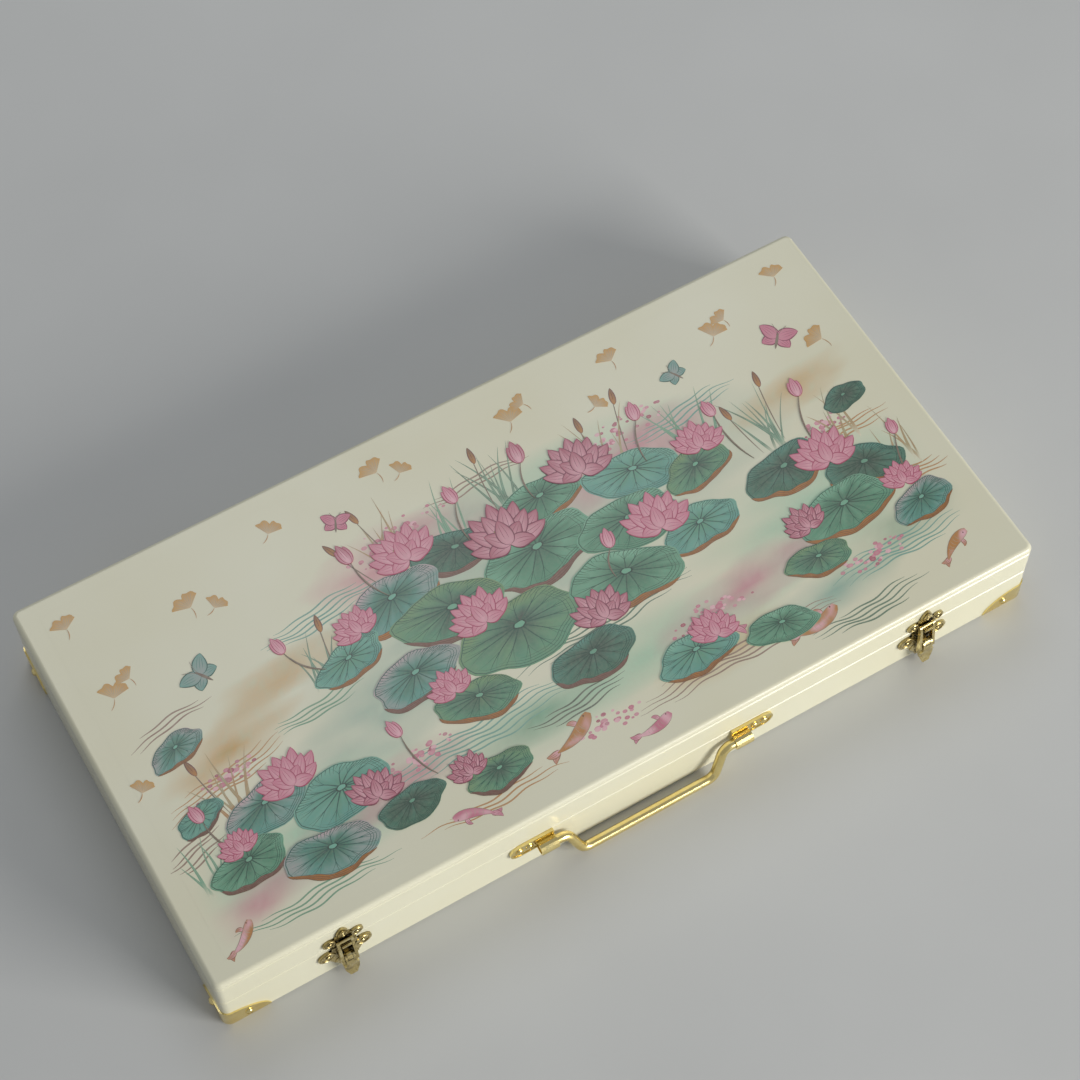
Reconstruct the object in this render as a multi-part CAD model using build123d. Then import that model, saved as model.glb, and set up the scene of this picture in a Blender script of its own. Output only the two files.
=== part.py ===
from build123d import *
import math
import os

# A mahjong set in a flat painted wooden case with a hinged lid. Millimetres, +Z up.
# The front of the case faces -Y. The origin is the middle of the case's flat underside.

# Case
CASE_LENGTH = 457.0
CASE_DEPTH = 226.0
BASE_HEIGHT = 28.0
LID_HEIGHT = 22.0
SEAM_GAP = 0.3
WALL = 8.0
TOP_PANEL = 4.0
BOTTOM_PANEL = 4.0
BOTTOM_REBATE = 4.0
CORNER_RADIUS = 4.0
TOP_EDGE_RADIUS = 2.6
PANEL_EASE = 0.8
FRAME_EASE = 1.0
SEAM_EASE = 0.5
BOTTOM_EASE = 1.2

# Linings
BASE_LINING = 1.0
LID_LINING = 3.0
LINING_GAP = 0.3

# Corner caps
CAP_SHEET = 0.8
CAP_REACH = 24.0
CAP_HEIGHT = 15.0
CAP_EDGE = 1.7
CAP_SCREW_IN = 12.5
CAP_SCREW_UP = 7.0

# Bail handle
ROD = 5.2
ROD_FLATS = 10
KNUCKLE_IN = 50.5
KNUCKLE_LENGTH = 9.5
KNUCKLE_WALL = 1.1
KNUCKLE_BELOW_SEAM = 7.3
KNUCKLE_STAND = 4.0
KNUCKLE_FIT = 0.1
PEG_SHORT = 1.0
BAIL_TOP_HALF = 44.5
GRIP_HALF = 37.5
BAIL_DROP = 18.2
BAIL_BEND = 6.0
BEND_STEPS = 3
TABLE_GAP = 0.3
HANDLE_PLATE_LENGTH = 24.0
HANDLE_PLATE_HEIGHT = 10.2
HANDLE_PLATE_SHEET = 1.2
HANDLE_PLATE_BELOW_SEAM = 5.4
HANDLE_RIM = 1.0
HANDLE_RIM_RISE = 0.4
HANDLE_SCREW_PITCH = 5.6

# Toggle latches
LATCH_INSET = 64.5
LATCH_SHEET = 1.2
LATCH_RELIEF = 0.7
EAR_FLATS = 14
HOOK_EAR = 3.6
HOOK_EARS_APART = 14.2
HOOK_EARS_ABOVE_SEAM = 6.0
HOOK_TIP_ABOVE_SEAM = 17.0
HOOK_FOOT_HALF = 5.7
SPIRE_HALF = 3.4
SPIRE_BELLY_HALF = 2.5
SPIRE_BELLY_SHARE = 0.55
SPIRE_INSET = 0.9
SPIRE_ROOT = 0.5
BASE_EAR = 5.0
BASE_EARS_APART = 18.4
BASE_EARS_BELOW_SEAM = 8.0
BASE_TIP = 2.6
BASE_TIP_UP = 1.0
SHIELD_TOP_HALF = 6.6
SHIELD_WAIST_HALF = 7.8
SHIELD_SHOULDER_HALF = 8.7
SPINE_HALF = 4.6
SPINE_TIP_HALF = 1.8
PLATE_SEAM_GAP = 0.9
LEVER_STAND = 4.8
LEVER_BELOW_SEAM = 8.5
LEVER_BOSS = 2.1
LEVER_PIN = 0.8
LOOP_PIN = 0.7
LOOP_ARM = 3.6
LOOP_ARM_ANGLE = -85.0
LOOP_EYE = 1.5
LOOP_BAR = 0.8
LOOP_BAR_STAND = 2.5
LOOP_LEG_TOP = 0.95
LOOP_BAR_ABOVE_SEAM = 5.4
LOOP_LEG = 1.5
POST_WIDTH = 2.6
POST_HALF_HEIGHT = 1.3
CHEEK = 1.2
SIDE_GAP = 0.2
HOOK_GAP = 0.25
HOOK_THICK = 1.5
HOOK_NOSE = 0.9
HOOK_OUT = 5.2
HOOK_LIP = 0.55
HOOK_LIP_THICK = 0.8
BILL_HALF = 3.85
BILL_MIDDLE_HALF = 3.7
BILL_TONGUE_HALF = 2.4
BILL_TOP_OVERLAP = 1.0
BILL_TIP_UP = 2.6
BILL_TIP_STAND = 7.4
BILL_THICK = 1.5
BILL_HOLLOW = 0.2
BILL_BACK_IN = 1.95
BILL_LIP_OUT = 0.45
BILL_LIP_OUT_UP = 0.9
BILL_LIP_IN = 1.05
BILL_LIP_IN_UP = 0.75

# Rear hinges
HINGE_INSET = 78.5
HINGE_LENGTH = 50.0
LEAF_HEIGHT = 13.5
LEAF_SHEET = 1.5
BARREL = 2.8
BARREL_GAP = 0.3
HINGE_PIN = 1.25
HINGE_KNUCKLES = 3

# Small turned bars, bosses and bores, and their running clearance
BAR_FLATS = 14
PIN_FIT = 0.05

# Round-head screws and nails
SCREW_HEAD = 2.1
SCREW_HEAD_RISE = 1.3
SCREW_SHANK = 1.1
SCREW_LENGTH = 6.5
NAIL_HEAD = 1.25
NAIL_HEAD_RISE = 0.9
NAIL_SHANK = 0.6
NAIL_LENGTH = 5.0
HOLE_GAP = 0.1
SCREW_FLATS = 8
NAIL_FLATS = 8
SHANK_FLATS = 4
HEAD_TOP_SHARE = 0.6

# Tiles and trays
TILE_WIDTH = 22.0
TILE_LENGTH = 30.0
TILE_THICK = 16.0
TILE_EASE = 1.2
TILE_GAP = 0.2
TRAY_WALL = 1.6
TRAY_FLOOR = 1.2
TRAY_HEAD = 0.3
TRAY_NOTCH = 9.0
TRAY_NOTCH_SLOPE = 3.0
STORE_GAP = 0.3

# Dividers, racks and small pieces
SMALL_ROOM_LEAST = 28.0
DIVIDER = 3.0
DIVIDER_HEIGHT = 33.0
RACK_END_GAP = 2.5
RACK_COLUMNS = 2
RACK_LAYERS = 2
RACK_WIDTH = 40.0
RACK_HEIGHT = 17.0
RACK_LEDGE = 5.0
RACK_LEDGE_WIDTH = 20.0
RACK_LIP = 3.0
RACK_LIP_RISE = 2.5
DIE = 14.0
DIE_EASE = 1.5
DIE_PITCH = 18.0
DIE_COUNT = 3
DIE_FROM_FRONT = 17.5
INDICATOR_RADIUS = 12.5
INDICATOR_HEIGHT = 14.0
INDICATOR_EASE = 1.5
INDICATOR_FLATS = 24
INDICATOR_FROM_DIVIDER = 17.2

# How far a cutting block runs past what it cuts
OVERRUN = 1.0

FRONT = -CASE_DEPTH / 2
BACK = CASE_DEPTH / 2
LID_RIM = BASE_HEIGHT + SEAM_GAP
LID_FRAME_TOP = BASE_HEIGHT + LID_HEIGHT - TOP_PANEL
CASE_TOP = BASE_HEIGHT + LID_HEIGHT
ROOM_LENGTH = CASE_LENGTH - 2 * WALL
ROOM_DEPTH = CASE_DEPTH - 2 * WALL
STORE_FLOOR = BOTTOM_PANEL + BASE_LINING
RACK_LENGTH = ROOM_LENGTH - 2 * RACK_END_GAP
KNUCKLE_UP = BASE_HEIGHT - KNUCKLE_BELOW_SEAM
HANDLE_PLATE_UP = BASE_HEIGHT - HANDLE_PLATE_BELOW_SEAM
LATCH_APART = CASE_LENGTH - 2 * LATCH_INSET
HOOK_EARS_UP = BASE_HEIGHT + HOOK_EARS_ABOVE_SEAM
HOOK_TIP_UP = BASE_HEIGHT + HOOK_TIP_ABOVE_SEAM
BASE_EARS_UP = BASE_HEIGHT - BASE_EARS_BELOW_SEAM
LEVER_UP = BASE_HEIGHT - LEVER_BELOW_SEAM
LOOP_BAR_UP = BASE_HEIGHT + LOOP_BAR_ABOVE_SEAM
HINGE_APART = CASE_LENGTH - 2 * HINGE_INSET
TRAY_RIM = 2 * TRAY_WALL + 2 * STORE_GAP

# As many columns and rows of tiles as the room beside the racks and dividers takes
TRAYS_LENGTH = ROOM_LENGTH - DIVIDER - SMALL_ROOM_LEAST - 3 * STORE_GAP
TRAYS_DEPTH = ROOM_DEPTH - DIVIDER - RACK_COLUMNS * (RACK_WIDTH + STORE_GAP) - 3 * STORE_GAP
TRAY_COLUMNS = int((TRAYS_LENGTH / 2 - TRAY_RIM + TILE_GAP) / (TILE_WIDTH + TILE_GAP))
TRAY_ROWS = int((TRAYS_DEPTH - TRAY_RIM + TILE_GAP) / (TILE_LENGTH + TILE_GAP))
FRONT_PLANE = Plane(origin=(0, FRONT, 0), x_dir=(1, 0, 0), z_dir=(0, -1, 0))
UP = (0, 0, 1)
OUT = (0, -1, 0)
ALONG = (1, 0, 0)


def upright(length, depth, low, high, radius):
    """A block with rounded upright corners between two heights."""
    outline = RectangleRounded(length, depth, radius)
    return extrude(Pos(0, 0, low) * outline, high - low)


def bottom_edges(part):
    return part.edges().group_by(Axis.Z)[0]


def top_edges(part):
    return part.edges().group_by(Axis.Z)[-1]


def slab(length, depth, low, high):
    """A plain block on the case's centre line, between two heights."""
    return Pos(0, 0, (low + high) / 2) * Box(length, depth, high - low)


def mitred(ring):
    """Cuts a frame into its front, back, left and right boards at 45 degree mitres."""
    half_length = CASE_LENGTH / 2
    half_depth = CASE_DEPTH / 2
    run = min(half_length, half_depth) - OVERRUN
    inner_x = half_length - run
    inner_y = half_depth - run
    boards = {}
    for side in ("front", "back"):
        sign = -1 if side == "front" else 1
        wedge = Polygon(
            (-half_length - WALL, sign * (half_depth + WALL)),
            (half_length + WALL, sign * (half_depth + WALL)),
            (inner_x, sign * inner_y),
            (-inner_x, sign * inner_y),
            align=None,
        )
        boards[side] = ring & extrude(wedge, CASE_TOP, dir=UP)
    for side in ("left", "right"):
        sign = -1 if side == "left" else 1
        wedge = Polygon(
            (sign * (half_length + WALL), -half_depth - WALL),
            (sign * (half_length + WALL), half_depth + WALL),
            (sign * inner_x, inner_y),
            (sign * inner_x, -inner_y),
            align=None,
        )
        boards[side] = ring & extrude(wedge, CASE_TOP, dir=UP)
    return boards


def base_body():
    """The outside of the closed base, as one block."""
    block = upright(CASE_LENGTH, CASE_DEPTH, 0, BASE_HEIGHT, CORNER_RADIUS)
    block = chamfer(bottom_edges(block), BOTTOM_EASE)
    return chamfer(top_edges(block), SEAM_EASE)


def corner_cap():
    """Sheet brass cap over the front left lower corner, let in flush on the underside."""
    outer_length = CASE_LENGTH + 2 * CAP_SHEET
    outer_depth = CASE_DEPTH + 2 * CAP_SHEET
    outside = upright(outer_length, outer_depth, 0, BASE_HEIGHT, CORNER_RADIUS + CAP_SHEET)
    outside = chamfer(bottom_edges(outside), CAP_EDGE)
    inside = upright(CASE_LENGTH, CASE_DEPTH, CAP_SHEET, BASE_HEIGHT, CORNER_RADIUS)
    inside = chamfer(bottom_edges(inside), BOTTOM_EASE)
    corner_x = -CASE_LENGTH / 2
    wrap = CORNER_RADIUS + CAP_EDGE
    quarter = math.degrees(math.pi / 2)

    def wing(reach, rise):
        edges = [
            Line((-CAP_SHEET, 0), (-CAP_SHEET, rise)),
            Line((-CAP_SHEET, rise), (0, rise)),
            EllipticalCenterArc((0, 0), reach, rise, start_angle=0, arc_size=quarter),
            Line((reach, 0), (-CAP_SHEET, 0)),
        ]
        return make_face(Curve() + edges)

    front_at = Plane(origin=(corner_x, FRONT - CAP_SHEET, 0), x_dir=(1, 0, 0), z_dir=(0, -1, 0))
    front_wing = extrude(front_at * wing(CAP_REACH, CAP_HEIGHT), wrap, dir=(0, 1, 0))
    side_at = Plane(origin=(corner_x - CAP_SHEET, FRONT, 0), x_dir=(0, 1, 0), z_dir=(1, 0, 0))
    side_wing = extrude(side_at * wing(CAP_REACH, CAP_HEIGHT), wrap, dir=ALONG)
    flap_at = Plane(origin=(corner_x, FRONT, 0), x_dir=(1, 0, 0), z_dir=(0, 0, 1))
    flap = extrude(flap_at * wing(CAP_REACH, CAP_REACH), CAP_SHEET, dir=UP)
    return (outside - inside) & (front_wing + side_wing + flap)


def four_corners(part):
    """The same piece at the front left, front right, back left and back right corners."""
    right = mirror(part, about=Plane.YZ)
    return [part, right, mirror(part, about=Plane.XZ), mirror(right, about=Plane.XZ)]


def fastener(head, rise, flats, shank, length):
    """A low domed head on a square shank, seated at the origin, with its head towards +Z."""
    flat_radius = head * math.cos(math.pi / flats)
    slope = math.degrees(math.atan(flat_radius * (1 - HEAD_TOP_SHARE) / rise))
    crown = extrude(RegularPolygon(head, flats), rise, taper=slope)
    stem = extrude(RegularPolygon(shank, SHANK_FLATS), length, dir=(0, 0, -1))
    return crown + stem


def screw():
    return fastener(SCREW_HEAD, SCREW_HEAD_RISE, SCREW_FLATS, SCREW_SHANK, SCREW_LENGTH)


def nail():
    return fastener(NAIL_HEAD, NAIL_HEAD_RISE, NAIL_FLATS, NAIL_SHANK, NAIL_LENGTH)


def on_front(x, z, stand):
    """A place on the case's front, with its local +Z pointing out of the case."""
    return Location(Plane(origin=(x, FRONT - stand, z), x_dir=(1, 0, 0), z_dir=(0, -1, 0)))


def on_back(x, z, stand):
    return Location(Plane(origin=(x, BACK + stand, z), x_dir=(-1, 0, 0), z_dir=(0, 1, 0)))


def on_side(sign, y, z, stand):
    """A place on the case's left (-1) or right (+1) side, pointing out of the case."""
    x = sign * (CASE_LENGTH / 2 + stand)
    return Location(Plane(origin=(x, y, z), x_dir=(0, 1, 0), z_dir=(sign, 0, 0)))


def cap_screw_places():
    places = []
    for side in (-1, 1):
        x = side * (CASE_LENGTH / 2 - CAP_SCREW_IN)
        y = CASE_DEPTH / 2 - CAP_SCREW_IN
        places.append(on_front(x, CAP_SCREW_UP, CAP_SHEET))
        places.append(on_back(x, CAP_SCREW_UP, CAP_SHEET))
        places.append(on_side(side, -y, CAP_SCREW_UP, CAP_SHEET))
        places.append(on_side(side, y, CAP_SCREW_UP, CAP_SHEET))
    return places


def drilled(part, places, shank, depth):
    """Cuts a clearance hole for a shank through the part at each place."""
    hole = extrude(RegularPolygon(shank + HOLE_GAP, SHANK_FLATS), depth, both=True)
    for place in places:
        part -= place * hole
    return part


def front_profile(points, centre, width):
    """A side profile of (stand, height) corners, made solid across the front."""
    outline = Polygon(*[(FRONT - stand, z) for stand, z in points], align=None)
    return extrude(Pos(centre - width / 2, 0, 0) * (Plane.YZ * outline), width, dir=ALONG)


def front_sheet(outline, centre, thickness, stand=0.0):
    """A sheet of an (x, height) outline that stands out of the case's front."""
    return extrude(Pos(centre, -stand, 0) * (FRONT_PLANE * outline), thickness, dir=OUT)


def bar(radius, width):
    """A bar along X with enough flats to look round, for bosses, barrels and bores."""
    return Rot(0, 90, 0) * extrude(RegularPolygon(radius, BAR_FLATS), width / 2, both=True)


def pin(radius, width):
    """A round pin along X."""
    return Rot(0, 90, 0) * Cylinder(radius, width)


def in_front(stand, up, centre, shape):
    """Moves a shape from the origin to a place that stands off the case's front."""
    return Pos(centre, FRONT - stand, up) * shape


def handle_screw_places(side):
    outer = KNUCKLE_IN + HANDLE_PLATE_LENGTH
    first = outer - HANDLE_PLATE_HEIGHT / 2
    return [
        on_front(side * (first - step * HANDLE_SCREW_PITCH), HANDLE_PLATE_UP, HANDLE_PLATE_SHEET)
        for step in (0, 1)
    ]


def handle_plate(side):
    """Oblong end plate with a raised rim and the rolled knuckle that holds the bail."""
    half = HANDLE_PLATE_HEIGHT / 2
    inner = KNUCKLE_IN
    outer = KNUCKLE_IN + HANDLE_PLATE_LENGTH
    up = HANDLE_PLATE_UP
    edges = [
        Line((inner, up - half), (outer - half, up - half)),
        ThreePointArc((outer - half, up - half), (outer, up), (outer - half, up + half)),
        Line((outer - half, up + half), (inner, up + half)),
        Line((inner, up + half), (inner, up - half)),
    ]
    outline = make_face(Curve() + edges)
    inset = offset(outline, -HANDLE_RIM)
    plate = front_sheet(outline, 0, HANDLE_PLATE_SHEET + HANDLE_RIM_RISE)
    plate -= front_sheet(inset, 0, HANDLE_RIM_RISE, HANDLE_PLATE_SHEET)
    middle = KNUCKLE_IN + KNUCKLE_LENGTH / 2
    knuckle = bar(ROD / 2 + KNUCKLE_WALL, KNUCKLE_LENGTH)
    bore = pin(ROD / 2 + KNUCKLE_FIT, 2 * KNUCKLE_LENGTH)
    plate += in_front(KNUCKLE_STAND, KNUCKLE_UP, middle, knuckle)
    plate -= in_front(KNUCKLE_STAND, KNUCKLE_UP, middle, bore)
    plate &= front_profile(
        [(0, 0), (0, CASE_TOP), (2 * ROD + KNUCKLE_STAND, CASE_TOP), (2 * ROD + KNUCKLE_STAND, 0)],
        (inner + outer) / 2,
        2 * HANDLE_PLATE_LENGTH,
    )
    plate = drilled(plate, handle_screw_places(1), SCREW_SHANK, SCREW_LENGTH)
    return plate if side > 0 else mirror(plate, about=Plane.YZ)


def handle_bail():
    """Round brass rod bent into a bail. It hangs from its knuckles and leans on the table."""
    peg_end = KNUCKLE_IN + KNUCKLE_LENGTH - PEG_SHORT
    hang = KNUCKLE_UP - ROD / 2 - TABLE_GAP
    lean = math.acos(min(1.0, hang / BAIL_DROP))
    bail_plane = Plane(
        origin=(0, FRONT - KNUCKLE_STAND, KNUCKLE_UP),
        x_dir=(1, 0, 0),
        z_dir=(0, -math.cos(lean), math.sin(lean)),
    )
    centre_line = FilletPolyline(
        (-peg_end, 0), (-BAIL_TOP_HALF, 0), (-GRIP_HALF, -BAIL_DROP),
        (GRIP_HALF, -BAIL_DROP), (BAIL_TOP_HALF, 0), (peg_end, 0),
        radius=BAIL_BEND,
    )
    points = [(-peg_end, 0)]
    for edge in centre_line.edges().sort_by(Axis.X):
        steps = BEND_STEPS if edge.geom_type == GeomType.CIRCLE else 1
        along = [edge @ (step / steps) for step in range(steps + 1)]
        along.sort(key=lambda point: point.X)
        points += [(point.X, point.Y) for point in along[1:]]
    section = Plane(origin=(-peg_end, 0, 0), z_dir=(1, 0, 0)) * RegularPolygon(ROD / 2, ROD_FLATS)
    return bail_plane.location * sweep(section, path=Polyline(*points), transition=Transition.RIGHT)


def lever_pivot():
    return LEVER_STAND, LEVER_UP


def loop_pivot():
    angle = math.radians(LOOP_ARM_ANGLE)
    return LEVER_STAND + LOOP_ARM * math.cos(angle), LEVER_UP + LOOP_ARM * math.sin(angle)


def neck_half():
    return POST_WIDTH / 2 + SIDE_GAP + CHEEK


def loop_half():
    return neck_half() + SIDE_GAP + LOOP_LEG


def hook_nail_places(centre):
    return [
        on_front(centre + side * HOOK_EARS_APART / 2, HOOK_EARS_UP, LATCH_SHEET)
        for side in (-1, 1)
    ]


def latch_hook_plate(centre):
    """Trefoil plate on the lid, with the upturned hook that the loop pulls on."""
    bottom = LID_RIM + PLATE_SEAM_GAP
    waist = HOOK_EARS_APART / 2
    shoulder = HOOK_EARS_UP + HOOK_EAR
    bud = HOOK_TIP_UP - shoulder
    belly_up = shoulder + bud * SPIRE_BELLY_SHARE
    spire_edges = [
        ThreePointArc((-SPIRE_HALF, shoulder), (-SPIRE_BELLY_HALF, belly_up), (0, HOOK_TIP_UP)),
        ThreePointArc((0, HOOK_TIP_UP), (SPIRE_BELLY_HALF, belly_up), (SPIRE_HALF, shoulder)),
        Line((SPIRE_HALF, shoulder), (-SPIRE_HALF, shoulder)),
    ]
    spire = make_face(Curve() + spire_edges)
    root = shoulder + SPIRE_ROOT
    body = Polygon(
        (-HOOK_FOOT_HALF, bottom), (HOOK_FOOT_HALF, bottom), (waist, HOOK_EARS_UP), (SPIRE_HALF, root),
        (-SPIRE_HALF, root), (-waist, HOOK_EARS_UP),
        align=None,
    )
    ears = [Pos(side * waist, HOOK_EARS_UP) * RegularPolygon(HOOK_EAR, EAR_FLATS) for side in (-1, 1)]
    outline = body + spire + ears[0] + ears[1]
    plate = front_sheet(outline, centre, LATCH_SHEET)
    plate += front_sheet(offset(spire, -SPIRE_INSET), centre, LATCH_SHEET + LATCH_RELIEF)
    seat = LOOP_BAR_UP - LOOP_BAR - HOOK_GAP
    lip_in = HOOK_OUT - HOOK_LIP_THICK
    hook = [
        (LATCH_SHEET / 2, seat), (lip_in - HOOK_LIP, seat), (lip_in, seat + HOOK_LIP),
        (HOOK_OUT, seat + HOOK_LIP), (HOOK_OUT, seat - HOOK_THICK + HOOK_NOSE),
        (HOOK_OUT - HOOK_NOSE, seat - HOOK_THICK), (LATCH_SHEET / 2, seat - HOOK_THICK),
    ]
    plate += front_profile(hook, centre, 2 * (neck_half() - SIDE_GAP))
    return drilled(plate, hook_nail_places(centre), NAIL_SHANK, NAIL_LENGTH)


def base_nail_places(centre):
    return [
        on_front(centre + side * BASE_EARS_APART / 2, BASE_EARS_UP, LATCH_SHEET)
        for side in (-1, 1)
    ]


def lever_post(centre, clear):
    """The post between the base plate and the lever's pivot, or the room it needs."""
    stand, up = lever_pivot()
    half = POST_HALF_HEIGHT + clear
    root = LATCH_SHEET / 2
    corners = [(root, up - half), (stand, up - half), (stand, up + half), (root, up + half)]
    return front_profile(corners, centre, POST_WIDTH + 2 * clear)


def latch_base_plate(centre):
    """Shield-shaped plate on the base, with a raised spine and the post with the lever's pin in it."""
    top = BASE_HEIGHT - PLATE_SEAM_GAP
    waist = BASE_EARS_APART / 2
    tip_up = BASE_TIP_UP + BASE_TIP
    shoulder = BASE_EARS_UP - BASE_EAR
    shield = Polygon(
        (-SHIELD_TOP_HALF, top), (SHIELD_TOP_HALF, top), (SHIELD_WAIST_HALF, BASE_EARS_UP),
        (SHIELD_SHOULDER_HALF, shoulder), (BASE_TIP, tip_up), (-BASE_TIP, tip_up),
        (-SHIELD_SHOULDER_HALF, shoulder), (-SHIELD_WAIST_HALF, BASE_EARS_UP),
        align=None,
    )
    ears = [Pos(side * waist, BASE_EARS_UP) * RegularPolygon(BASE_EAR, EAR_FLATS) for side in (-1, 1)]
    outline = shield + ears[0] + ears[1] + Pos(0, tip_up) * RegularPolygon(BASE_TIP, EAR_FLATS)
    spine = Polygon(
        (-SPINE_HALF, LEVER_UP), (SPINE_HALF, LEVER_UP),
        (SPINE_TIP_HALF, tip_up), (-SPINE_TIP_HALF, tip_up),
        align=None,
    )
    plate = front_sheet(outline, centre, LATCH_SHEET)
    plate += front_sheet(spine, centre, LATCH_SHEET + LATCH_RELIEF)
    plate += lever_post(centre, 0)
    plate += in_front(*lever_pivot(), centre, bar(LEVER_BOSS, POST_WIDTH))
    plate += in_front(*lever_pivot(), centre, pin(LEVER_PIN, 2 * neck_half()))
    return drilled(plate, base_nail_places(centre), NAIL_SHANK, NAIL_LENGTH)


def link_between(first, first_radius, second, second_radius, centre, width):
    """A tapered link with round ends, from one cross axis to another."""
    (stand_1, up_1), (stand_2, up_2) = first, second
    ring_1 = Pos(FRONT - stand_1, up_1) * RegularPolygon(first_radius, BAR_FLATS)
    ring_2 = Pos(FRONT - stand_2, up_2) * RegularPolygon(second_radius, BAR_FLATS)
    outline = make_hull(ring_1.edges() + ring_2.edges())
    return extrude(Pos(centre - width / 2, 0, 0) * (Plane.YZ * outline), width, dir=ALONG)


def latch_lever(centre):
    """Duckbill lever: two cheeks round the post, a neck with the loop's pin and an outcurled bill."""
    pivot = lever_pivot()
    loop_stand, loop_up = loop_pivot()
    arm = link_between(pivot, LEVER_BOSS, (loop_stand, loop_up), LEVER_BOSS, centre, 2 * neck_half())
    bill_top = loop_up - LOOP_EYE - SIDE_GAP
    crown = loop_stand + LEVER_BOSS
    throat = loop_stand - LEVER_BOSS
    middle_up = (bill_top + BILL_TIP_UP) / 2
    lip_out = (FRONT - BILL_TIP_STAND - BILL_LIP_OUT, BILL_TIP_UP + BILL_LIP_OUT_UP)
    lip_in = (FRONT - BILL_TIP_STAND + BILL_LIP_IN, BILL_TIP_UP + BILL_LIP_IN_UP)
    chin = (FRONT - throat, bill_top - BILL_THICK)
    side_edges = [
        Line((FRONT - throat, loop_up), (FRONT - crown, loop_up)),
        Line((FRONT - crown, loop_up), (FRONT - crown, bill_top)),
        ThreePointArc((FRONT - crown, bill_top), (FRONT - crown + BILL_HOLLOW, middle_up), lip_out),
        ThreePointArc(lip_out, (FRONT - BILL_TIP_STAND, BILL_TIP_UP), lip_in),
        ThreePointArc(lip_in, (FRONT - crown + BILL_BACK_IN, middle_up), chin),
        Line(chin, (FRONT - throat, loop_up)),
    ]
    side_view = make_face(Curve() + side_edges)
    bill = extrude(Pos(centre - BILL_HALF, 0, 0) * (Plane.YZ * side_view), 2 * BILL_HALF, dir=ALONG)
    neck = neck_half()
    neck_top = loop_up + BILL_TOP_OVERLAP
    cheek_up = bill_top - CHEEK
    tongue = BILL_TONGUE_HALF
    tongue_up = BILL_TIP_UP + tongue
    front_edges = [
        Line((-neck, neck_top), (neck, neck_top)),
        Line((neck, neck_top), (neck, bill_top)),
        Line((neck, bill_top), (BILL_HALF, cheek_up)),
        ThreePointArc((BILL_HALF, cheek_up), (BILL_MIDDLE_HALF, middle_up), (tongue, tongue_up)),
        ThreePointArc((tongue, tongue_up), (0, BILL_TIP_UP), (-tongue, tongue_up)),
        ThreePointArc((-tongue, tongue_up), (-BILL_MIDDLE_HALF, middle_up), (-BILL_HALF, cheek_up)),
        Line((-BILL_HALF, cheek_up), (-neck, bill_top)),
        Line((-neck, bill_top), (-neck, neck_top)),
    ]
    front_view = make_face(Curve() + front_edges)
    bill &= front_sheet(front_view, centre, 4 * LEVER_STAND)
    lever = arm + bill
    slot = POST_WIDTH + 2 * SIDE_GAP
    lever -= in_front(*pivot, centre, bar(LEVER_BOSS + HOOK_GAP, slot))
    lever -= lever_post(centre, SIDE_GAP)
    lever -= in_front(*pivot, centre, bar(LEVER_PIN + PIN_FIT, 4 * neck))
    return lever + in_front(loop_stand, loop_up, centre, pin(LOOP_PIN, 2 * loop_half()))


def latch_loop(centre):
    """Two tapered legs and the cross bar that goes over the hook."""
    top = (LOOP_BAR_STAND, LOOP_BAR_UP)
    leg_middle = loop_half() - LOOP_LEG / 2
    loop = in_front(*top, centre, bar(LOOP_BAR, 2 * leg_middle))
    for side in (-1, 1):
        leg_at = centre + side * leg_middle
        loop += link_between(loop_pivot(), LOOP_EYE, top, LOOP_LEG_TOP, leg_at, LOOP_LEG)
    loop -= in_front(*loop_pivot(), centre, bar(LOOP_PIN + PIN_FIT, 4 * loop_half()))
    return loop


def hinge_axis():
    """The rear hinges' pin line, as a distance behind the case and a height."""
    return BARREL + BARREL_GAP, BASE_HEIGHT + SEAM_GAP / 2


def hinge_screw_places(centre, sign):
    """Three screws along a leaf: sign is +1 on the lid and -1 on the base."""
    up = hinge_axis()[1] + sign * (LEAF_HEIGHT + BARREL) / 2
    pitch = HINGE_LENGTH / 3
    return [on_back(centre + step * pitch, up, LEAF_SHEET) for step in (-1, 0, 1)]


def hinge_leaf(centre, sign):
    """A butt hinge leaf with its own knuckles. The base's leaf also holds the pin."""
    stand, up = hinge_axis()
    pitch = HINGE_LENGTH / HINGE_KNUCKLES
    near = up + sign * BARREL_GAP
    far = up + sign * LEAF_HEIGHT
    leaf = Box(HINGE_LENGTH, LEAF_SHEET, abs(far - near))
    leaf = Pos(centre, BACK + LEAF_SHEET / 2, (near + far) / 2) * leaf
    corners = leaf.edges().filter_by(Axis.Y).sort_by(Axis.Z)
    leaf = chamfer(corners[-2:] if sign > 0 else corners[:2], LEAF_SHEET)
    own_first = 0 if sign < 0 else 1
    for index in range(HINGE_KNUCKLES):
        middle = centre + (index - (HINGE_KNUCKLES - 1) / 2) * pitch
        place = Pos(middle, BACK + stand, up)
        if index % 2 == own_first:
            leaf += place * bar(BARREL, pitch - 2 * PIN_FIT)
        else:
            leaf -= place * bar(BARREL + BARREL_GAP, pitch + 2 * PIN_FIT)
    pin_place = Pos(centre, BACK + stand, up)
    if sign < 0:
        leaf += pin_place * pin(HINGE_PIN, HINGE_LENGTH - 2 * PIN_FIT)
    else:
        leaf -= pin_place * bar(HINGE_PIN + PIN_FIT, HINGE_LENGTH)
    return drilled(leaf, hinge_screw_places(centre, sign), NAIL_SHANK, NAIL_LENGTH)


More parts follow.
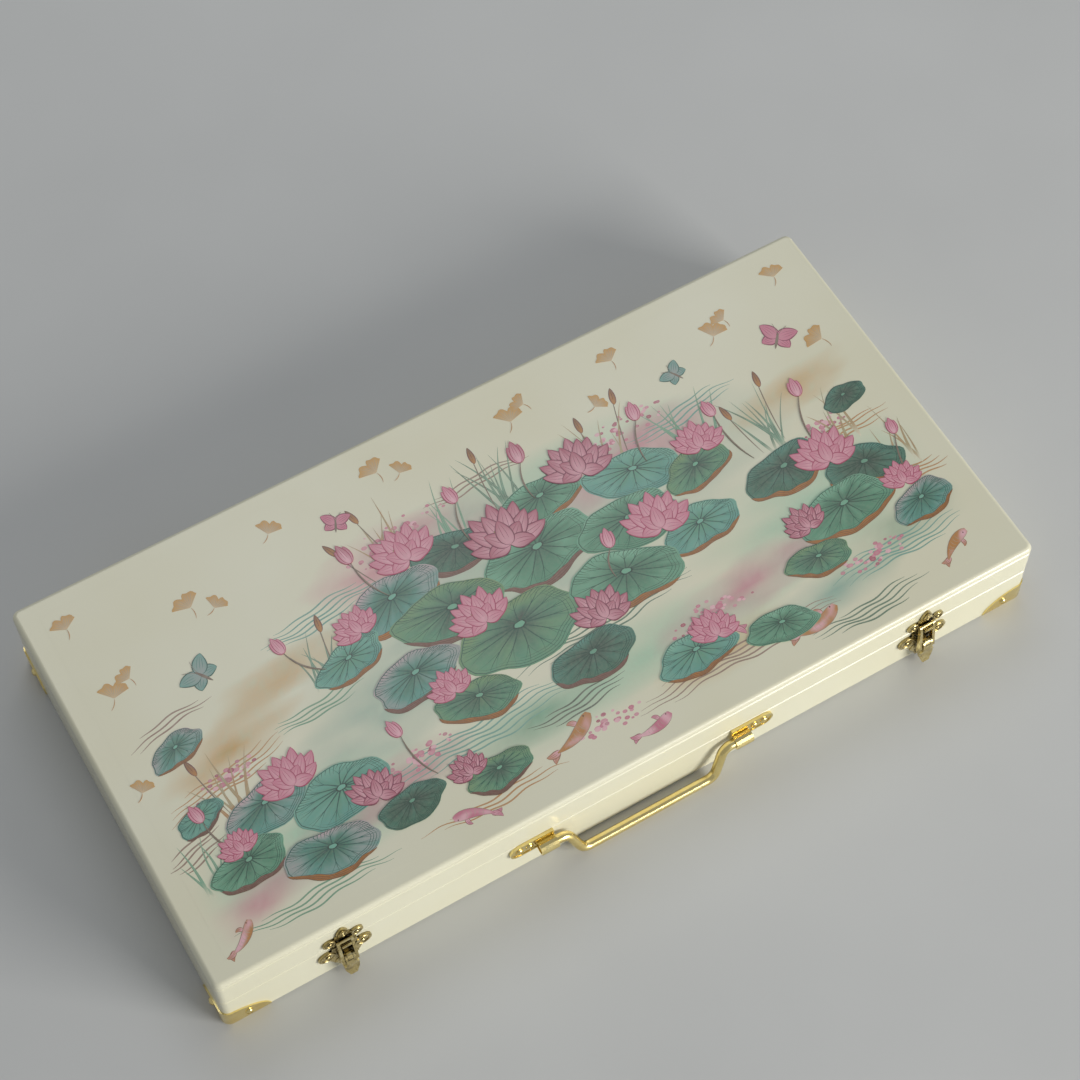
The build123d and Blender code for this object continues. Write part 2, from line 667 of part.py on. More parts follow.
def tray_size():
    width = TRAY_COLUMNS * TILE_WIDTH + (TRAY_COLUMNS - 1) * TILE_GAP + 2 * STORE_GAP + 2 * TRAY_WALL
    depth = TRAY_ROWS * TILE_LENGTH + (TRAY_ROWS - 1) * TILE_GAP + 2 * STORE_GAP + 2 * TRAY_WALL
    height = TRAY_FLOOR + TILE_THICK + TRAY_HEAD
    return width, depth, height


def tray_middle(side, layer):
    """The middle of a tray's underside: side 0 is left, layer 0 is below."""
    width, depth, height = tray_size()
    x = -ROOM_LENGTH / 2 + STORE_GAP + width / 2 + side * (width + STORE_GAP)
    y = FRONT + WALL + STORE_GAP + depth / 2
    return x, y, STORE_FLOOR + layer * height


def tile_tray(side, layer):
    """Open wooden tray with a finger notch in each short wall."""
    width, depth, height = tray_size()
    tray = Pos(0, 0, height / 2) * Box(width, depth, height)
    tray -= Pos(0, 0, TRAY_FLOOR + height / 2) * Box(width - 2 * TRAY_WALL, depth - 2 * TRAY_WALL, height)
    low = height - TRAY_NOTCH
    foot = TRAY_NOTCH - TRAY_NOTCH_SLOPE
    notch = Polygon((-TRAY_NOTCH, height), (-foot, low), (foot, low), (TRAY_NOTCH, height), align=None)
    tray -= extrude(Plane.YZ * notch, width, both=True)
    return Pos(*tray_middle(side, layer)) * tray


def tiles(side, layer):
    """The tiles of one tray, lying on their backs. Only the upper layer's faces have eased edges."""
    tile = Box(TILE_WIDTH, TILE_LENGTH, TILE_THICK)
    if layer:
        tile = chamfer(top_edges(tile), TILE_EASE)
    x_middle, y_middle, low = tray_middle(side, layer)
    up = low + TRAY_FLOOR + TILE_THICK / 2
    placed = []
    for column in range(TRAY_COLUMNS):
        x = x_middle + (column - (TRAY_COLUMNS - 1) / 2) * (TILE_WIDTH + TILE_GAP)
        for row in range(TRAY_ROWS):
            y = y_middle + (row - (TRAY_ROWS - 1) / 2) * (TILE_LENGTH + TILE_GAP)
            placed.append(Pos(x, y, up) * tile)
    return placed


def tray_strip_edges():
    """Where the stored trays end, towards the back and towards the right."""
    width, depth, _ = tray_size()
    x, y, _ = tray_middle(1, 0)
    return x + width / 2 + STORE_GAP, y + depth / 2 + STORE_GAP


def rack_divider():
    """Board along the case between the trays and the racks."""
    _, y = tray_strip_edges()
    board = Box(ROOM_LENGTH - 2 * STORE_GAP, DIVIDER, DIVIDER_HEIGHT)
    return Pos(0, y + DIVIDER / 2, STORE_FLOOR + DIVIDER_HEIGHT / 2) * board


def end_divider():
    """Short board between the trays and the small compartment."""
    x, y = tray_strip_edges()
    depth = y - (FRONT + WALL)
    board = Box(DIVIDER, depth, DIVIDER_HEIGHT)
    return Pos(x + DIVIDER / 2, y - depth / 2, STORE_FLOOR + DIVIDER_HEIGHT / 2) * board


def tile_rack(column, layer):
    """Long wooden rack: a ledge with a front lip, and a sloped back that tiles lean on."""
    half = RACK_WIDTH / 2
    ledge_back = -half + RACK_LIP + RACK_LEDGE_WIDTH
    lean = (RACK_HEIGHT - RACK_LEDGE) / 4
    outline = Polygon(
        (-half, 0), (half, 0), (half, RACK_HEIGHT / 2), (half - lean, RACK_HEIGHT),
        (ledge_back + lean, RACK_HEIGHT), (ledge_back, RACK_LEDGE), (-half + RACK_LIP, RACK_LEDGE),
        (-half + RACK_LIP, RACK_LEDGE + RACK_LIP_RISE), (-half, RACK_LEDGE + RACK_LIP_RISE),
        align=None,
    )
    rack = extrude(Plane.YZ * outline, RACK_LENGTH / 2, both=True)
    _, strip = tray_strip_edges()
    y = strip + DIVIDER + STORE_GAP + half + column * (RACK_WIDTH + STORE_GAP)
    return Pos(0, y, STORE_FLOOR + layer * RACK_HEIGHT) * rack


def small_room():
    """The small compartment at the right: its middle in X and its two ends in Y."""
    x, y = tray_strip_edges()
    return (x + DIVIDER + ROOM_LENGTH / 2) / 2, FRONT + WALL, y


def dice():
    x, front_end, _ = small_room()
    die = chamfer(Box(DIE, DIE, DIE).edges(), DIE_EASE)
    first = front_end + DIE_FROM_FRONT
    up = STORE_FLOOR + DIE / 2
    return [Pos(x, first + index * DIE_PITCH, up) * die for index in range(DIE_COUNT)]


def wind_indicator():
    """Small turned marker that shows the round's wind."""
    x, _, back_end = small_room()
    disc = extrude(RegularPolygon(INDICATOR_RADIUS, INDICATOR_FLATS), INDICATOR_HEIGHT)
    disc = chamfer(top_edges(disc) + bottom_edges(disc), INDICATOR_EASE)
    return Pos(x, back_end - INDICATOR_FROM_DIVIDER, STORE_FLOOR) * disc


def build():
    nodes = {}

    body = base_body()
    caps = four_corners(corner_cap())
    rebate_length = ROOM_LENGTH + 2 * BOTTOM_REBATE
    rebate_depth = ROOM_DEPTH + 2 * BOTTOM_REBATE
    room = slab(ROOM_LENGTH, ROOM_DEPTH, -OVERRUN, BASE_HEIGHT + OVERRUN)
    panel_seat = slab(rebate_length, rebate_depth, 0, BOTTOM_PANEL)
    ring = body - room - panel_seat
    panel = panel_seat
    for cap in caps:
        ring -= cap
        panel -= cap
    for side, board in mitred(ring).items():
        nodes[f"base_{side}_wall"] = board
    nodes["base_bottom_panel"] = panel

    frame = upright(CASE_LENGTH, CASE_DEPTH, LID_RIM, LID_FRAME_TOP, CORNER_RADIUS)
    frame = chamfer(top_edges(frame), FRAME_EASE)
    frame = chamfer(bottom_edges(frame), SEAM_EASE)
    frame -= slab(ROOM_LENGTH, ROOM_DEPTH, LID_RIM - OVERRUN, LID_FRAME_TOP + OVERRUN)
    for side, board in mitred(frame).items():
        nodes[f"lid_{side}_wall"] = board
    top = upright(CASE_LENGTH, CASE_DEPTH, LID_FRAME_TOP, CASE_TOP, CORNER_RADIUS)
    top = fillet(top_edges(top), TOP_EDGE_RADIUS)
    nodes["lid_top_panel"] = chamfer(bottom_edges(top), PANEL_EASE)

    lining_length = ROOM_LENGTH - 2 * LINING_GAP
    lining_depth = ROOM_DEPTH - 2 * LINING_GAP
    nodes["base_lining"] = slab(lining_length, lining_depth, BOTTOM_PANEL, STORE_FLOOR)
    nodes["lid_lining"] = slab(lining_length, lining_depth, LID_FRAME_TOP - LID_LINING, LID_FRAME_TOP)

    nodes["corner_caps"] = [drilled(cap, cap_screw_places(), SCREW_SHANK, SCREW_LENGTH) for cap in caps]
    nodes["corner_cap_screws"] = [place * screw() for place in cap_screw_places()]

    nodes["handle_plate_left"] = handle_plate(-1)
    nodes["handle_plate_right"] = handle_plate(1)
    nodes["handle_screws"] = [place * screw() for side in (-1, 1) for place in handle_screw_places(side)]
    nodes["handle_bail"] = handle_bail()

    hook_nails = []
    base_nails = []
    for side, centre in (("left", -LATCH_APART / 2), ("right", LATCH_APART / 2)):
        nodes[f"latch_{side}_hook_plate"] = latch_hook_plate(centre)
        nodes[f"latch_{side}_base_plate"] = latch_base_plate(centre)
        nodes[f"latch_{side}_lever"] = latch_lever(centre)
        nodes[f"latch_{side}_loop"] = latch_loop(centre)
        hook_nails += [place * nail() for place in hook_nail_places(centre)]
        base_nails += [place * nail() for place in base_nail_places(centre)]
    nodes["latch_lid_nails"] = hook_nails
    nodes["latch_base_nails"] = base_nails

    lid_screws = []
    base_screws = []
    for side, centre in (("left", -HINGE_APART / 2), ("right", HINGE_APART / 2)):
        nodes[f"hinge_{side}_lid_leaf"] = hinge_leaf(centre, 1)
        nodes[f"hinge_{side}_base_leaf"] = hinge_leaf(centre, -1)
        lid_screws += [place * nail() for place in hinge_screw_places(centre, 1)]
        base_screws += [place * nail() for place in hinge_screw_places(centre, -1)]
    nodes["hinge_lid_screws"] = lid_screws
    nodes["hinge_base_screws"] = base_screws

    suits = {(0, 0): "characters", (1, 0): "honours", (0, 1): "dots", (1, 1): "bamboos"}
    for (side, layer), suit in suits.items():
        place = f"{('lower', 'upper')[layer]}_{('left', 'right')[side]}"
        nodes[f"tray_{place}"] = tile_tray(side, layer)
        nodes[f"tiles_{suit}"] = tiles(side, layer)
    for column in range(RACK_COLUMNS):
        for layer in range(RACK_LAYERS):
            nodes[f"tile_rack_{1 + column + RACK_COLUMNS * layer}"] = tile_rack(column, layer)
    nodes["rack_divider"] = rack_divider()
    nodes["end_divider"] = end_divider()
    nodes["dice"] = dice()
    nodes["wind_indicator"] = wind_indicator()
    return nodes


def write(nodes):
    os.makedirs("parts", exist_ok=True)
    for name, shape in nodes.items():
        solids = []
        for piece in shape if isinstance(shape, list) else [shape]:
            solids += piece.solids()
        export_step(Compound(children=solids), f"parts/{name}.step")


write(build())
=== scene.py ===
import math
import random

import bmesh
import bpy
from mathutils import Matrix, Vector, noise


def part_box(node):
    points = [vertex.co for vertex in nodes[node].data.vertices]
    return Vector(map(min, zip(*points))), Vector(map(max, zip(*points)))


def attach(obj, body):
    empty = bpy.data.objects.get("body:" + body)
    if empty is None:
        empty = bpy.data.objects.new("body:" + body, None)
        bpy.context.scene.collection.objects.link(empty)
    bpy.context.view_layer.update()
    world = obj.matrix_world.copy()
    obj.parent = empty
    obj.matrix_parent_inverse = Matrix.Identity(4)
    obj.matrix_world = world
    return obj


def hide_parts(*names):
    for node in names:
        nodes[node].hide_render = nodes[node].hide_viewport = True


# A mahjong set in a flat case of cream lacquered wood, closed, with brass hardware.
# Metres, +Z up. The front of the case, with its handle, faces -Y.
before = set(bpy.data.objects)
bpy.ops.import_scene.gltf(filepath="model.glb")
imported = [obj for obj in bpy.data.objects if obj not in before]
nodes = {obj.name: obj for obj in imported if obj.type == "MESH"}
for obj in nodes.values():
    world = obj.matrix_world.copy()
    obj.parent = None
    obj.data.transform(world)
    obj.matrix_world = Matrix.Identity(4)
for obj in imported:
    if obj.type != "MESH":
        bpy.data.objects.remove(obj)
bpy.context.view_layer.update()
MM = 0.001
WELD = 1e-7

# The room: a pale stone floor, a pale sky all round, one large soft window low at the front right,
# a weak one above and behind, and a camera that looks down on the case from its front left.
FLOOR_COLOUR = (0.58, 0.585, 0.575)
FLOOR_SIZE = 12.0
SKY_COLOUR = (0.93, 0.96, 1.0)
SKY_LIGHT = 0.295
SKY_SEEN = 0.34
CAMERA_LENS = 83.92
CAMERA_PLACE = (-0.28721, -0.52860, 1.14404)
CAMERA_TURN = (29.701, 0.520, -30.175)


def set_inputs(tree, node, values):
    """Sets a node's inputs by name or number: a socket is linked, anything else is a constant."""
    for name, value in dict(values).items():
        if isinstance(value, bpy.types.NodeSocket):
            tree.links.new(value, node.inputs[name])
        else:
            node.inputs[name].default_value = value


def new_material(name, roughness, metallic=0.0):
    material = bpy.data.materials.new(name)
    material.use_nodes = True
    tree = material.node_tree
    shader = tree.nodes["Principled BSDF"]
    set_inputs(tree, shader, {"Roughness": roughness, "Metallic": metallic})
    return material, tree, shader


def made_node(tree, kind, inputs=(), **properties):
    """A shader node with its properties set, and then its inputs."""
    made = tree.nodes.new(kind)
    for name, value in properties.items():
        setattr(made, name, value)
    set_inputs(tree, made, inputs)
    return made


def meshed(bm, name="part"):
    """The mesh of a working mesh, which is freed."""
    mesh = bpy.data.meshes.new(name)
    bm.to_mesh(mesh)
    bm.free()
    return mesh


def poured(bm, mesh):
    """Adds a mesh to a working mesh, and removes it."""
    bm.from_mesh(mesh)
    bpy.data.meshes.remove(mesh)


def new_piece(name, bm, material, body="root", smooth=True, sharp=None):
    """A mesh object at the origin that rides on a body of the case, with edges over sharp degrees hard."""
    mesh = meshed(bm, name)
    mesh.materials.append(material)
    if smooth:
        mesh.shade_smooth()
    if sharp:
        mesh.set_sharp_from_angle(angle=math.radians(sharp))
    made = bpy.data.objects.new(name, mesh)
    bpy.context.scene.collection.objects.link(made)
    if body:
        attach(made, body)
    return made


def noise_pattern(tree, scale, detail=3.0, roughness=0.55, stretch=(1, 1, 1)):
    """A noise over the object's own coordinates, drawn out along its axes."""
    place = tree.nodes.new("ShaderNodeTexCoord").outputs["Object"]
    drawn = made_node(tree, "ShaderNodeMapping", {"Vector": place, "Scale": stretch}).outputs["Vector"]
    inputs = {"Vector": drawn, "Scale": scale, "Detail": detail, "Roughness": roughness}
    return made_node(tree, "ShaderNodeTexNoise", inputs).outputs["Fac"]


def ramp(tree, source, stops):
    """Colours along a value from 0 to 1: stops are (position, colour)."""
    made = made_node(tree, "ShaderNodeValToRGB", {"Fac": source})
    elements = made.color_ramp.elements
    while len(elements) < len(stops):
        elements.new(0.5)
    for element, (position, colour) in zip(elements, stops):
        element.position = position
        element.color = (*colour, 1)
    return made.outputs["Color"]


def ranged(tree, source, low, high, to_low, to_high):
    inputs = {"Value": source, "From Min": low, "From Max": high, "To Min": to_low, "To Max": to_high}
    return made_node(tree, "ShaderNodeMapRange", inputs).outputs["Result"]


def calculated(tree, operation, *values):
    return made_node(tree, "ShaderNodeMath", enumerate(values), operation=operation).outputs[0]


def blended(tree, factor, first, second, way="MIX"):
    inputs = {"Factor": factor, "A": first, "B": second}
    return made_node(tree, "ShaderNodeMix", inputs, data_type="RGBA", blend_type=way).outputs["Result"]


def bumped(tree, shader, source, strength, depth):
    bump = made_node(tree, "ShaderNodeBump", {"Height": source, "Strength": strength, "Distance": depth})
    set_inputs(tree, shader, {"Normal": bump.outputs["Normal"]})


floor_stone, tree, shader = new_material("pale_stone_floor", 0.6)
tones = [(stop, [gain * part for part in FLOOR_COLOUR]) for stop, gain in ((0.35, 0.96), (0.65, 1.03))]
set_inputs(tree, shader, {"Base Color": ramp(tree, noise_pattern(tree, 3.0, 4.0), tones)})
bm = bmesh.new()
bmesh.ops.create_grid(bm, x_segments=1, y_segments=1, size=FLOOR_SIZE / 2)
floor = new_piece("floor", bm, floor_stone, body=None)

world = bpy.data.worlds.new("studio")
bpy.context.scene.world = world
world.use_nodes = True
tree = world.node_tree
ray = tree.nodes.new("ShaderNodeLightPath").outputs
seen = 0.0
for name in ("Is Camera Ray", "Is Glossy Ray", "Is Transmission Ray"):
    seen = calculated(tree, "MAXIMUM", ray[name], seen)
strength = ranged(tree, seen, 0.0, 1.0, SKY_LIGHT, SKY_SEEN)
set_inputs(tree, tree.nodes["Background"], {"Color": (*SKY_COLOUR, 1), "Strength": strength})


def soft_window(name, place, width, height, watts, colour):
    light = bpy.data.lights.new(name, "AREA")
    light.shape = "RECTANGLE"
    light.size = width
    light.size_y = height
    light.energy = watts
    light.color = colour
    lamp = bpy.data.objects.new(name, light)
    bpy.context.scene.collection.objects.link(lamp)
    lamp.location = place
    lamp.rotation_euler = (-Vector(place)).to_track_quat("-Z", "Y").to_euler()


soft_window("window_front_right", (1.5, -2.4, 0.85), 1.5, 1.1, watts=82, colour=(1.0, 0.985, 0.95))
soft_window("window_above", (0.4, 1.5, 2.2), 1.8, 1.2, watts=13, colour=(0.95, 0.98, 1.0))

camera = bpy.data.cameras.new("camera")
camera.lens = CAMERA_LENS
camera.sensor_width = 36
viewer = bpy.data.objects.new("camera", camera)
bpy.context.scene.collection.objects.link(viewer)
viewer.location = CAMERA_PLACE
viewer.rotation_euler = [math.radians(angle) for angle in CAMERA_TURN]
bpy.context.scene.camera = viewer
bpy.context.scene.view_settings.view_transform = "Standard"

# The case: eight mitred boards and two panels of softwood, glued, then sprayed with several coats
# of cream lacquer and rubbed to a satin gloss. A little of the wood's grain telegraphs through.
CREAM = (0.735, 0.715, 0.555)
CREAM_WARM = (0.715, 0.685, 0.505)


def lacquered(tree, shader):
    """Cream lacquer: clouded colour, a satin gloss that varies a little, and a fine orange peel."""
    cloud = noise_pattern(tree, 9.0)
    peel = noise_pattern(tree, 420.0, 2.0)
    grain = noise_pattern(tree, 60.0, 4.0, 0.6, (0.06, 1, 1))
    bumped(tree, shader, calculated(tree, "MULTIPLY_ADD", grain, 0.35, peel), 0.10, 0.0002)
    gloss = ranged(tree, cloud, 0.3, 0.7, 0.33, 0.42)
    set_inputs(tree, shader, {"Coat Weight": 0.4, "Coat Roughness": 0.16, "Roughness": gloss})
    return ramp(tree, cloud, [(0.35, CREAM), (0.7, CREAM_WARM)])


def paint_nodes(material, names):
    for name in names:
        mesh = nodes[name].data
        mesh.materials.clear()
        mesh.materials.append(material)


def nodes_named(start):
    return [name for name in nodes if name.startswith(start)]


lacquer, tree, shader = new_material("cream_lacquer", 0.38)
set_inputs(tree, shader, {"Base Color": lacquered(tree, shader)})
sides = ("front", "back", "left", "right")
paint_nodes(lacquer, [f"{half}_{side}_wall" for half in ("base", "lid") for side in sides])
paint_nodes(lacquer, ["base_bottom_panel", "lid_top_panel"])

# The picture on the lid: a lotus pond, painted by hand over the cream in thin washes with fine
# pen lines on top, then sealed under the last clear coats. Each stroke is a film of its own.
LID_TOP = 50.0 * MM
FILM_FIRST = 0.03 * MM
FILM_STEP = 0.012 * MM
FILM_UNDER = 0.55 * MM
GAIN = 1.08


def hue(code):
    """A colour that is written as it looks, brought to the strength it has under plain light."""
    parts = [int(code[place:place + 2], 16) / 255 for place in (0, 2, 4)]
    return tuple(min(0.95, GAIN * ((part + 0.055) / 1.055) ** 2.4) for part in parts)


JADE = hue("4A8C6C")
DEEP_JADE = hue("1E5E45")
PINE = hue("0C3325")
TEAL = hue("4F9488")
MINT = hue("88BFA1")
MOSS = hue("84904A")
ROSE = hue("C2607F")
BLUSH = hue("E0AAB6")
CRIMSON = hue("A02C54")
WINE = hue("641A38")
OCHRE = hue("B0701A")
GOLD = hue("C08C30")
BROWN = hue("573420")
TAUPE = hue("80594A")

painted, tree, shader = new_material("hand_painted_picture", 0.4)
ground = lacquered(tree, shader)
stroke = made_node(tree, "ShaderNodeAttribute", attribute_name="paint").outputs
grains = noise_pattern(tree, 650.0, 4.0, 0.7)
speckle = ramp(tree, grains, [(0.3, (0.62, 0.62, 0.62)), (0.7, (1, 1, 1))])
tone = blended(tree, 0.35, stroke["Color"], speckle, "MULTIPLY")
thin = calculated(tree, "MULTIPLY", stroke["Alpha"], ranged(tree, grains, 0.3, 0.6, 0.93, 1.0))
set_inputs(tree, shader, {"Base Color": blended(tree, thin, ground, tone)})


def coloured_bm(layer):
    """An empty working mesh whose points carry a colour."""
    bm = bmesh.new()
    bm.verts.layers.float_color.new(layer)
    return bm


rng = random.Random(29)
easel = {"wet": coloured_bm("paint"), "dry": []}


def mixed(first, second, share):
    share = min(1.0, max(0.0, share))
    return tuple(a + (b - a) * share for a, b in zip(first, second))


def film(columns, rows, place, tint, level):
    """A film of paint: a grid laid on the lid by place(u, v), in millimetres, coloured by tint."""
    wet = easel["wet"]
    layer = wet.verts.layers.float_color["paint"]
    height = LID_TOP + FILM_FIRST + FILM_STEP * level
    for vert in bmesh.ops.create_grid(wet, x_segments=columns, y_segments=rows, size=0.5)["verts"]:
        u, v = vert.co.x + 0.5, vert.co.y + 0.5
        x, y = place(u, v)
        vert[layer] = tint(u, v, x, y)
        vert.co = (x * MM, y * MM, height)


def dried():
    """Gives the wet films their thickness and sets them aside, which keeps the working mesh small."""
    wet = easel["wet"]
    bmesh.ops.remove_doubles(wet, verts=wet.verts, dist=WELD)
    bmesh.ops.dissolve_degenerate(wet, dist=WELD / 10, edges=wet.edges)
    wet.normal_update()
    bmesh.ops.reverse_faces(wet, faces=[face for face in wet.faces if face.normal.z < 0])
    bmesh.ops.solidify(wet, geom=wet.faces, thickness=FILM_UNDER)
    easel["dry"].append(meshed(wet))
    easel["wet"] = coloured_bm("paint")


def hung(name):
    """Joins the dry films into one piece of the picture, which rides on the lid."""
    bm = bmesh.new()
    for mesh in easel["dry"]:
        poured(bm, mesh)
    easel["dry"].clear()
    made = new_piece(name, bm, painted, "lid", smooth=False)


def heading(turn):
    """The direction on the lid that lies a turn clockwise from its far edge's."""
    return Vector((math.sin(turn), math.cos(turn)))


def curve_between(start, end, bend):
    """A bent line from start to end, as a function of 0 to 1."""
    start, end = Vector(start), Vector(end)
    across = Vector((start.y - end.y, end.x - start.x)).normalized()
    middle = (start + end) / 2 + across * bend * 2
    return lambda t: start * (1 - t) ** 2 + middle * (2 * t * (1 - t)) + end * t ** 2


def beside(curve, half, t, share):
    """The point at t along a curve that lies share of its half width to the left."""
    step = 0.01
    ahead = curve(min(1, t + step)) - curve(max(0, t - step))
    return curve(t) + Vector((-ahead.y, ahead.x)).normalized() * (share * half(t))


def swelling(t):
    return math.sin(math.pi * min(0.985, max(0.015, t))) ** 0.6


def thinning(t):
    return 1.15 - t


def pen(curve, width, colour, level, steps=10, swell=swelling, cover=0.92, under=None):
    """A drawn line along a curve, over the cream or over the colour under it."""

    def tint(u, v, x, y):
        dry = 0.5 + 0.5 * noise.noise(Vector((x * 0.35, y * 0.35, level)))
        cover_here = cover * (0.8 + 0.2 * dry)
        return (*mixed(under, colour, cover_here), 1.0) if under else (*colour, cover_here)

    film(steps, 1, lambda u, v: beside(curve, swell, u, (v - 0.5) * width), tint, level)


def spot(centre, wide, tall, sides, colour, level, edge_cover=1.0, middle_cover=1.0):
    """A round dab of one colour."""

    def place(u, v):
        return centre + Vector((math.cos(math.tau * u), tall * math.sin(math.tau * u))) * wide * v

    def tint(u, v, x, y):
        return (*colour, middle_cover + (edge_cover - middle_cover) * v)

    film(sides, 1, place, tint, level)


def petal(start, angle, length, width, bend, inner, outer, line, level, lines=2):
    """A petal that deepens towards its tip and edges, with a drawn outline and fine lines."""
    curve = curve_between(start, Vector(start) + heading(angle) * length, bend)
    seed = rng.random() * 50

    def half(t):
        return width / 2 * max(0.0, math.sin(math.pi * t ** 0.78)) ** 0.72

    def tint(u, v, x, y):
        edge = abs(2 * v - 1) ** 3
        streak = noise.noise(Vector((v * 7, u * 1.3, seed)))
        return (*mixed(inner, outer, 0.85 * u ** 1.5 + 0.30 * edge + 0.28 * streak), 0.94)

    film(9, 4, lambda u, v: beside(curve, half, u, 2 * v - 1), tint, level)
    for side in (-1, 1):
        pen(lambda t: beside(curve, half, t, side), 0.055 * width + 0.18, line,
            level + 0.075 + 0.025 * side, 12, cover=0.85, under=outer)
    for index in range(lines):
        spread = (index + 1) / (lines + 1) * 2 - 1
        pen(lambda t: beside(curve, half, 0.25 + 0.6 * t, spread * 0.8), 0.24, line, level + 0.05, 6,
            cover=0.5, under=outer)


def lotus(x, y, size, turn, level, inner=BLUSH, outer=ROSE, line=CRIMSON):
    """An open lotus flower seen from the side: back, middle and front petals round a seed pod."""
    start = Vector((x, y))
    for count, fan, reach, wide, first in ((5, 62, 1.0, 0.40, 0.0), (6, 80, 0.86, 0.36, 0.75)):
        order = sorted(range(count), key=lambda index: -abs(index - (count - 1) / 2))
        for place, index in enumerate(order):
            share = index / (count - 1) * 2 - 1
            angle = math.radians(share * fan + turn)
            length = size * reach * rng.uniform(0.93, 1.05)
            petal(start, angle, length, size * wide, -share * size * 0.06, inner, outer, line,
                  level + first + 0.15 * place)
    pod = start + heading(math.radians(turn)) * size * 0.30
    petal(pod - Vector((size * 0.2, 0)), math.radians(90), size * 0.4, size * 0.24, 0, GOLD, MOSS, BROWN,
          level + 1.65, 0)
    for place, share in enumerate((-1, -0.45, 0.45, 1, 0)):
        angle = math.radians(share * 100 + turn)
        reach = size * (0.62 - 0.10 * abs(share))
        petal(start - Vector((0, size * 0.05)), angle, reach, size * 0.34, share * size * 0.05,
              mixed(inner, outer, 0.25), outer, line, level + 1.8 + 0.15 * place)


def bud(x, y, size, turn, level, outer=ROSE):
    for place, (share, reach) in enumerate(((-1, 0.82), (1, 0.82), (0, 1.0))):
        angle = math.radians(turn + 15 * share)
        petal((x, y), angle, size * reach, size * 0.38, 0, BLUSH, outer, CRIMSON, level + 0.15 * place)


VEINS = 14
COMB_LINES = 30


def leaf_pad(x, y, wide, deep, tilt, level, middle, body, rim, turned=None):
    """A lotus leaf seen at a slant: a waved rim, forked veins, combed fine lines and a turned lip."""
    waves = [(count, rng.uniform(0, math.tau), size) for count, size in ((3, 0.05), (5, 0.045), (9, 0.02))]
    tilt = math.radians(tilt)
    cos, sin = math.cos(tilt), math.sin(tilt)
    seed = rng.random() * 90
    heart = Vector((0.05, 0.22))

    def point(angle, share):
        reach = 1 + sum(size * math.sin(count * angle + shift) for count, shift, size in waves)
        flat = Vector((math.cos(angle), math.sin(angle))) * reach
        flat = heart + (flat - heart) * share
        flat = Vector((flat.x * wide, flat.y * deep))
        return Vector((x + flat.x * cos - flat.y * sin, y + flat.x * sin + flat.y * cos))

    def tint(u, v, px, py):
        angle = math.tau * u
        streak = noise.noise(Vector((math.cos(angle) * 5, math.sin(angle) * 5, seed + v)))
        wash = noise.noise(Vector((px * 0.09, py * 0.09, seed)))
        shade = 0.5 + 0.5 * math.sin(angle)
        colour = mixed(middle, body, 1.25 * v + 0.45 * streak + 0.25 * wash)
        colour = mixed(colour, rim, (v - 0.45) * 1.1 * shade + 0.3 * wash + 0.2 * streak)
        return (*colour, 0.95)

    def ink(curve, width, rise, steps, swell=swelling, cover=0.8, colour=PINE, under=body):
        pen(curve, width, colour, level + rise, steps, swell, cover, under)

    film(44, 6, lambda u, v: point(math.tau * u, v), tint, level)
    for index in range(VEINS):
        angle = math.tau * (index + 0.4 * rng.random()) / VEINS
        lean = rng.uniform(-0.12, 0.12)
        ink(lambda t: point(angle + lean * t * t, 0.04 + 0.90 * t), 0.034 * deep + 0.22,
            0.20 + 0.05 * (index % 2), 7, thinning, 0.85)
        for side in (-1, 1):
            ink(lambda t: point(angle + lean * 0.3 + side * 0.17 * t, 0.52 + 0.40 * t), 0.3,
                0.125 + 0.025 * side, 4, thinning, 0.6)
    for share, start, width in ((0.965, 0.0, 0.5), (0.90, 0.55, 0.3), (0.84, 0.62, 0.3), (0.78, 0.68, 0.3)):
        ink(lambda t: point(math.tau * (start + t * (1 - start * 0.78)), share), width, 0.35, 32)
    for index in range(COMB_LINES):
        angle = math.pi * (0.08 + 0.84 * index / COMB_LINES)
        inner = rng.uniform(0.60, 0.78)
        ink(lambda t: point(angle + 0.10 * t, 0.96 - (0.96 - inner) * t), 0.34,
            0.40 + 0.05 * (index % 2), 4, thinning)
    if turned:
        lip_first = math.pi * rng.uniform(1.02, 1.15)
        lip_sweep = math.pi * rng.uniform(0.65, 0.82)

        def lip(u, v):
            rise = math.sin(math.pi * u) ** 0.7 * (0.16 + 0.03 * math.sin(u * 23))
            return point(lip_first + lip_sweep * u, 1.01 - rise * (1 - v))

        def lip_tint(u, v, px, py):
            streak = noise.noise(Vector((u * 12, v * 2, seed)))
            return (*mixed(turned, BROWN, 0.35 * v + 0.35 * streak), 1.0)

        film(26, 3, lip, lip_tint, level + 0.50)
        for share in (0.0, 0.34, 0.67, 1.0):
            ink(lambda t: lip(t, share), 0.34, 0.55, 26, cover=0.85, colour=BROWN, under=turned)
    for share, colour, rise in ((0.115, PINE, 0.60), (0.085, mixed(body, MINT, 0.5), 0.65)):
        film(14, 1, lambda u, v: point(math.tau * u, share * v), lambda u, v, px, py: (*colour, 1.0),
             level + rise)


